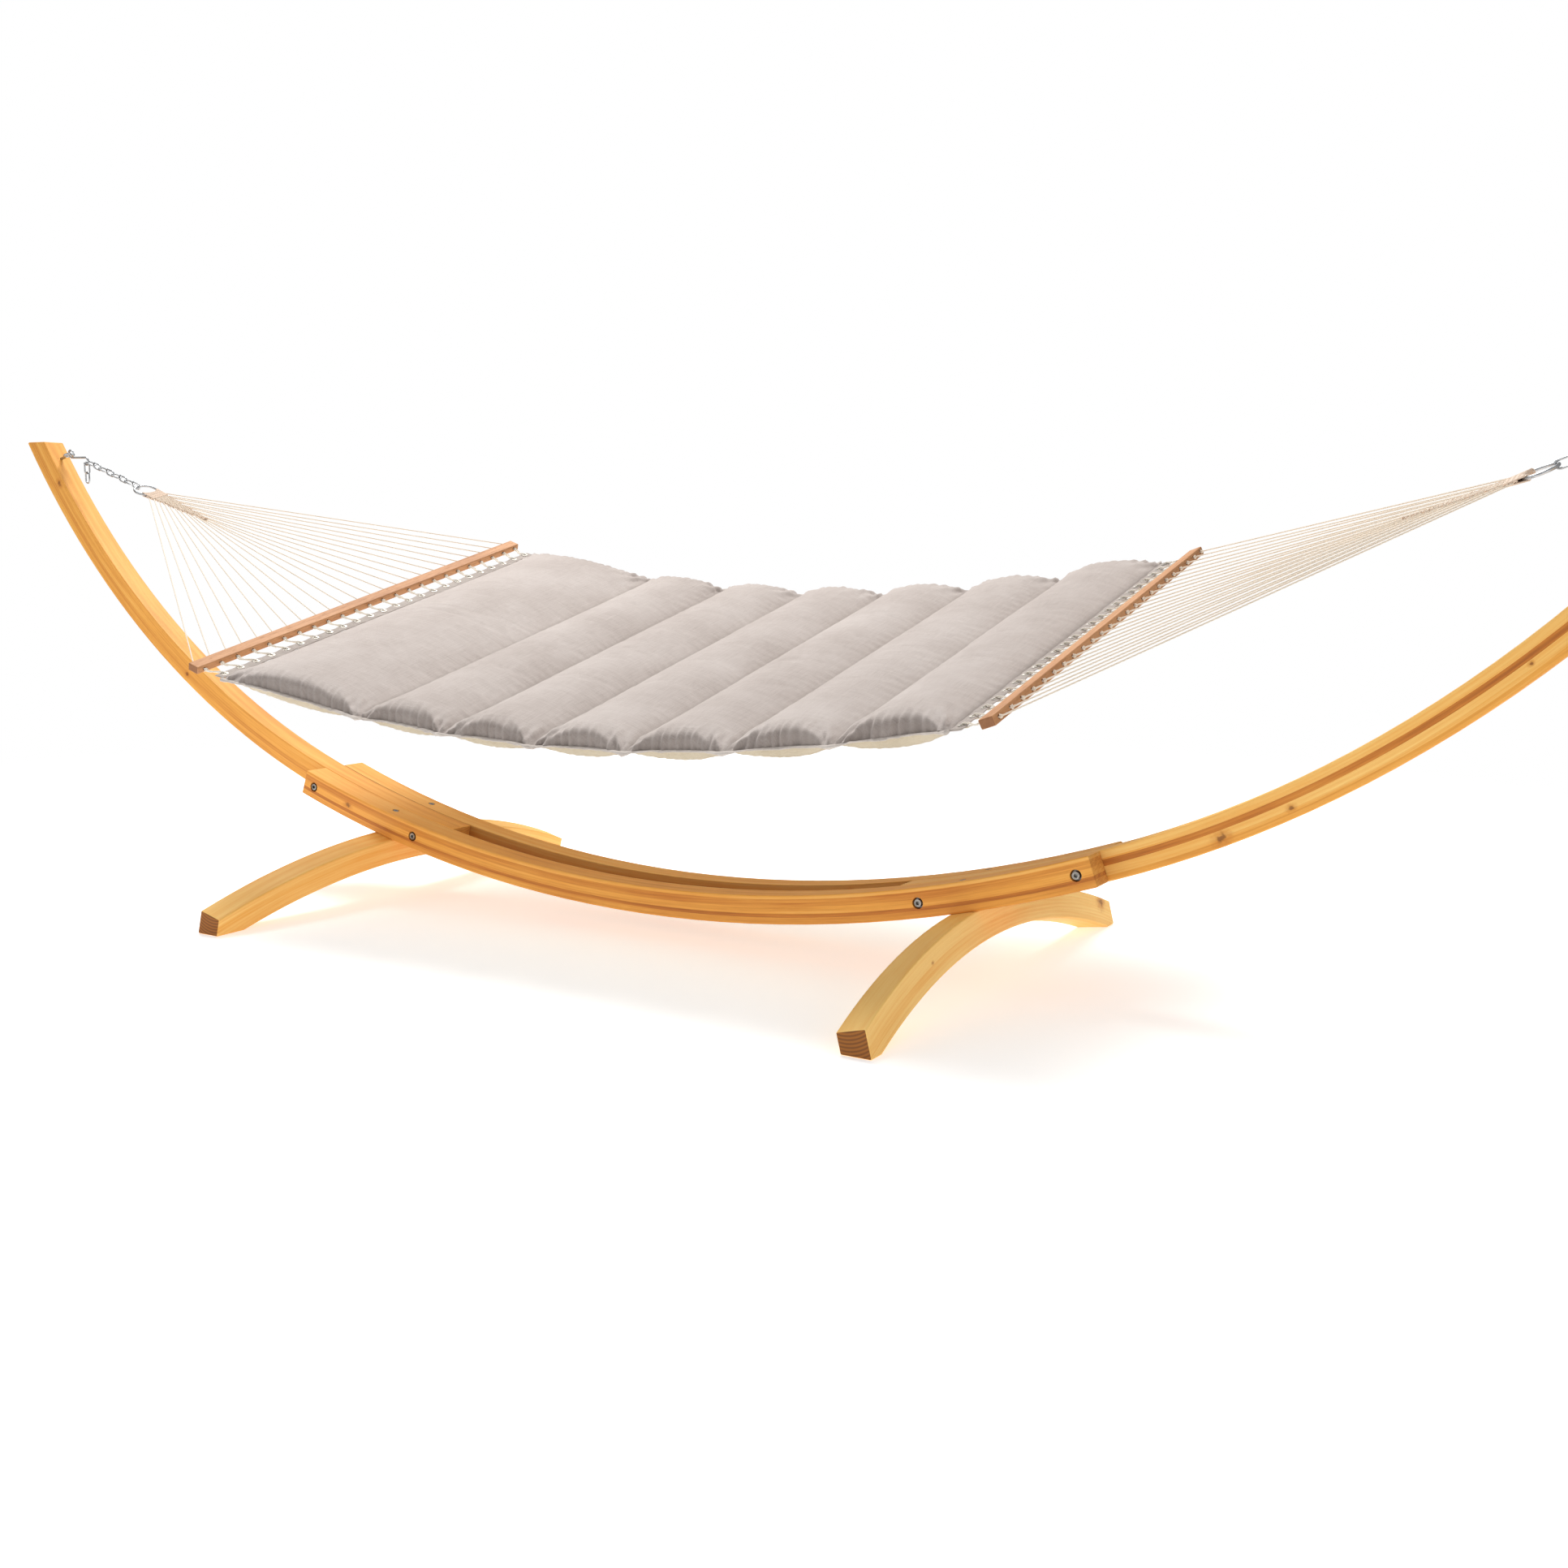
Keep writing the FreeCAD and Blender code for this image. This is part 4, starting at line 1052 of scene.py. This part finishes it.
def puff(x, y, layer):
    """Height of a cover over the sag line: 0 on the seams and the edge. layer is 1 above, -1 below."""
    share = channel_share(x)
    arch = (4 * share * (1 - share)) ** 0.72
    inside = min(1.0, (BED_WIDTH / 2 - abs(y)) / END_ROLL[layer])
    close = math.sqrt(max(0.0, 1 - (1 - inside) ** 2))
    return layer * (PUFF[layer] * arch * close + COVER_GAP)


def edge_draw(x, y):
    """The fill draws the edge in between the seams."""
    share = channel_share(x)
    near_edge = max(0.0, 1 - (BED_WIDTH / 2 - abs(y)) / 0.2)
    return -math.copysign(0.014 * (4 * share * (1 - share)) * near_edge**2, y)


def make_quilt():
    """The two covers as one closed quilted shell, joined at its edges and along every seam."""
    stations, seams = bed_columns()
    seam_set = set(seams)
    points, faces = [], []
    layers = {"top": {}, "bottom": {}}
    pins = []
    for column, x in enumerate(stations):
        for row in range(BED_ROWS + 1):
            y = (row / BED_ROWS - 0.5) * BED_WIDTH
            joined = column in seam_set or row in (0, BED_ROWS)
            shifted = y + edge_draw(x, y)
            layers["top"][column, row] = len(points)
            points.append(on_sag(x, shifted, 0.0 if joined else puff(x, y, 1)))
            if joined:
                layers["bottom"][column, row] = layers["top"][column, row]
                if column in seam_set:
                    pins.append(layers["top"][column, row])
            else:
                layers["bottom"][column, row] = len(points)
                points.append(on_sag(x, shifted, puff(x, y, -1)))
    owners = []
    for name, order in (("top", 1), ("bottom", -1)):
        index = layers[name]
        for column in range(len(stations) - 1):
            for row in range(BED_ROWS):
                face = (
                    index[column, row], index[column + 1, row],
                    index[column + 1, row + 1], index[column, row + 1],
                )
                faces.append(face if order > 0 else tuple(reversed(face)))
                owners.append(name)
    return points, faces, owners, pins, layers, len(stations)


CLOTH_FRAMES = 15
CLOTH = {
    "quality": 6,
    "mass": 0.12,
    "tension_stiffness": 22,
    "compression_stiffness": 12,
    "shear_stiffness": 6,
    "bending_stiffness": 0.12,
    "air_damping": 3,
    "use_pressure": True,
    "uniform_pressure_force": 2.2,
    "shrink_min": -0.003,
    "vertex_group_mass": "seams",
}


def vertex_rows(mesh, name):
    """The vertices' places ("co") or normals ("normal"), a row for each."""
    values = np.empty(len(mesh.vertices) * 3, dtype=np.float32)
    mesh.vertices.foreach_get(name, values)
    return values.reshape(-1, 3).astype(float)


def simulate(piece, pins):
    """Inflates the quilt: cloth a little larger than its seams puffs up and puckers along them."""
    group = piece.vertex_groups.new(name="seams")
    group.add(pins, 1.0, "REPLACE")
    cloth = piece.modifiers.new("puff", "CLOTH")
    for setting, value in CLOTH.items():
        setattr(cloth.settings, setting, value)
    cloth.settings.effector_weights.gravity = 0
    cloth.point_cache.frame_start = 1
    cloth.point_cache.frame_end = CLOTH_FRAMES
    for number in range(1, CLOTH_FRAMES + 1):
        scene.frame_set(number)
    graph = bpy.context.evaluated_depsgraph_get()
    places = vertex_rows(piece.evaluated_get(graph).data, "co")
    piece.modifiers.clear()
    scene.frame_set(1)
    return places


def capped(start, end, most):
    """end, but no point further than most from where it started."""
    move = end - start
    length = np.linalg.norm(move, axis=1)
    return start + move * (np.minimum(1.0, most / np.maximum(length, 1e-9)))[:, None]


def layer_mesh(name, points, faces, material):
    """One cover as its own piece, subdivided once. Its points are in the scene's frame."""
    used = sorted({corner for face in faces for corner in face})
    renumber = {old: new for new, old in enumerate(used)}
    piece = add_piece(
        name, [points[old] for old in used], [[renumber[c] for c in face] for face in faces],
        material, "hammock", hanging=False,
    )
    finer = piece.modifiers.new("finer", "SUBSURF")
    finer.levels = 1
    finer.render_levels = 1
    apply_modifiers(piece)
    return piece


PLEAT = 0.0023
GATHER = 0.0048
PUCKER = 0.0011
CREASE = 0.0010
LUMP = 0.0010


def noise_field(x, y, scale_x, scale_y, depth):
    """Noise at each of the places, stretched by a scale along each axis."""
    return np.array([
        noise.noise(Vector((px * scale_x, py * scale_y, depth))) for px, py in zip(x, y)
    ])


def add_pleats(piece, strength):
    """Fine wrinkles: gathers that fan out of each seam's end, pleats down the channels' ends, small
    puckers along the seams and soft creases over the crowns."""
    mesh = piece.data
    places = vertex_rows(mesh, "co")
    normals = vertex_rows(mesh, "normal")
    local = places @ np.array(HANG_BACK.to_3x3()).T + np.array(HANG_BACK.translation)
    x, y = local[:, 0], local[:, 1]
    edge = BED_WIDTH / 2 - np.abs(y)
    nearest = np.min([np.abs(x - seam) for seam in SEAMS], axis=0)
    wander = noise_field(x, y, 7, 7, 1.7)
    fine = noise_field(x, y, 22, 5, 8.3)
    patches = noise_field(x, y, 4, 4, 5.1)
    keep = np.clip(nearest / 0.010, 0, 1) * np.clip(edge / 0.006, 0, 1)
    move = np.zeros(len(places))
    pleat = np.sin(2 * math.pi * x / 0.021 + 5 * wander + 2 * fine)
    pleat += 0.6 * np.sin(2 * math.pi * x / 0.034 + 4 * fine)
    move += PLEAT * pleat * np.exp(-((edge - 0.014) / 0.040) ** 2)
    for seam in SEAMS:
        dx, dy = x - seam, edge + 0.012
        angle = np.arctan2(dx, dy)
        reach = np.hypot(dx, dy)
        fan = np.sin(13 * angle + 3.0 * wander + seam * 20)
        move += GATHER * fan * np.exp(-(reach / 0.085) ** 2) * np.clip(reach / 0.03, 0, 1)
    pucker = np.sin(2 * math.pi * y / 0.033 + 6 * wander + 3 * fine)
    move += PUCKER * pucker * np.exp(-nearest / 0.022)
    ridges = noise_field(x * 0.82 - y * 0.57, x * 0.57 + y * 0.82, 9, 30, 2.2)
    creases = np.clip(1 - np.abs(ridges) * 3.2, 0, 1) ** 2
    move += CREASE * creases * np.clip(patches * 2.0 + 0.30, 0, 1)
    move += LUMP * noise_field(x, y, 11, 6, 2.2)
    places += normals * (move * keep * strength)[:, None]
    mesh.vertices.foreach_set("co", places.astype(np.float32).ravel())
    # groove: how near each point lies to a seam, which the cloth's material darkens as painted shade.
    groove = mesh.attributes.new("groove", "FLOAT", "POINT")
    groove.data.foreach_set("value", np.exp(-((nearest / 0.007) ** 1.5)).astype(np.float32))
    mesh.update()


def make_edge_seam(name, path, outward_side):
    """The two covers' raw edge, turned and stitched: a thin ruffled welt along one long side."""
    count = len(path)
    outline = [(0.0, 0.0010), (0.0045, 0.0018), (0.0095, 0.0014), (SEAM_REACH, 0.0), (0.0095, -0.0014),
               (0.0045, -0.0018), (0.0, -0.0010), (-0.003, 0.0)]
    points, faces = [], []
    for index, place in enumerate(path):
        before, after = path[max(0, index - 1)], path[min(count - 1, index + 1)]
        tangent = (after - before).normalized()
        out = ACROSS * outward_side
        out = (out - tangent * out.dot(tangent)).normalized()
        high = tangent.cross(out) * outward_side
        if high.z < 0:
            high = -high
        ruffle = noise.noise(Vector((place.x * 60, outward_side * 3.0, 0)))
        wave = noise.noise(Vector((place.x * 16, outward_side * 7.0, 2)))
        tuft = max(math.exp(-(((place.x - seam) / 0.011) ** 2)) for seam in SEAMS)
        tip = (0.004 + 0.004 * tuft) * ruffle + 0.006 * wave
        for reach, thick in outline:
            share = max(0.0, reach / SEAM_REACH)
            stretch = 1 + 0.3 * wave + 0.3 * tuft
            rise = thick * (1 + 1.6 * tuft) + tip * share**1.5
            points.append(place + out * (reach * stretch) + high * rise)
    size = len(outline)
    for row in range(count - 1):
        for column in range(size):
            beside = (column + 1) % size
            here, above = row * size, (row + 1) * size
            faces.append((here + column, here + beside, above + beside, above + column))
    faces.append(tuple(reversed(range(size))))
    faces.append(tuple((count - 1) * size + column for column in range(size)))
    if outward_side < 0:
        faces = [tuple(reversed(face)) for face in faces]
    return add_piece(name, points, faces, seam_cloth, "hammock")


def make_bed():
    points, faces, owners, pins, layers, columns = make_quilt()
    quilt = add_piece("quilt", points, faces, top_cloth, "hammock")
    start = np.array([vertex.co for vertex in quilt.data.vertices])
    places = start
    places = capped(start, simulate(quilt, pins), MOST_MOVE)
    bpy.data.objects.remove(quilt)
    shapes = {
        name: [face for face, owner in zip(faces, owners) if owner == name] for name in ("top", "bottom")
    }
    top = layer_mesh("top_cloth_cover", places, shapes["top"], top_cloth)
    bottom = layer_mesh("bottom_cloth_cover", places, shapes["bottom"], under_cloth)
    add_pleats(top, 1.0)
    add_pleats(bottom, 0.3)
    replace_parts(top, "top_cover", *[f"fill_{number}" for number in range(1, CHANNELS + 1)])
    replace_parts(bottom, "bottom_cover")
    for label, row, outward in (("near", 0, -1), ("far", BED_ROWS, 1)):
        path = [HANG_BACK @ Vector(places[layers["top"][column, row]]) for column in range(columns)]
        make_edge_seam(f"{label}_edge_seam", path, outward)


# ---- everything in place

make_bed()
for side_name, mirror in SIDES.items():
    make_clew(side_name, mirror)
    make_lacing(side_name, mirror)
    make_hem(side_name, mirror)

SAME_ON_BOTH_SIDES = (
    (zinc, ("eye_bolt", "eye_washer", "eye_nut", "hook", "chain", "chain_tail", "ring")),
    (bolt_steel, ("arm_bolts", "arm_washers", "arm_nuts")),
    (bolt_steel, ("foot_bolts", "foot_washers", "foot_nuts")),
    (grommet_steel, ("grommets",)),
    (oak, ("spreader_bar",)),
)
for side_name in SIDES:
    for material, piece_names in SAME_ON_BOTH_SIDES:
        for piece_name in piece_names:
            materials[f"{side_name}_{piece_name}"] = material
for node_name, material in materials.items():
    node = frame["nodes"][node_name]
    node.data.materials.clear()
    node.data.materials.append(material)

FLOOR_HALF = 40.0
floor_corners = [
    (FLOOR_HALF * x, FLOOR_HALF * y, 0) for x, y in ((-1, -1), (1, -1), (1, 1), (-1, 1))
]
floor_mesh = bpy.data.meshes.new("floor")
floor_mesh.from_pydata(floor_corners, [], [(0, 1, 2, 3)])
floor_mesh.materials.append(floor_material())
floor = bpy.data.objects.new("floor", floor_mesh)
scene.collection.objects.link(floor)
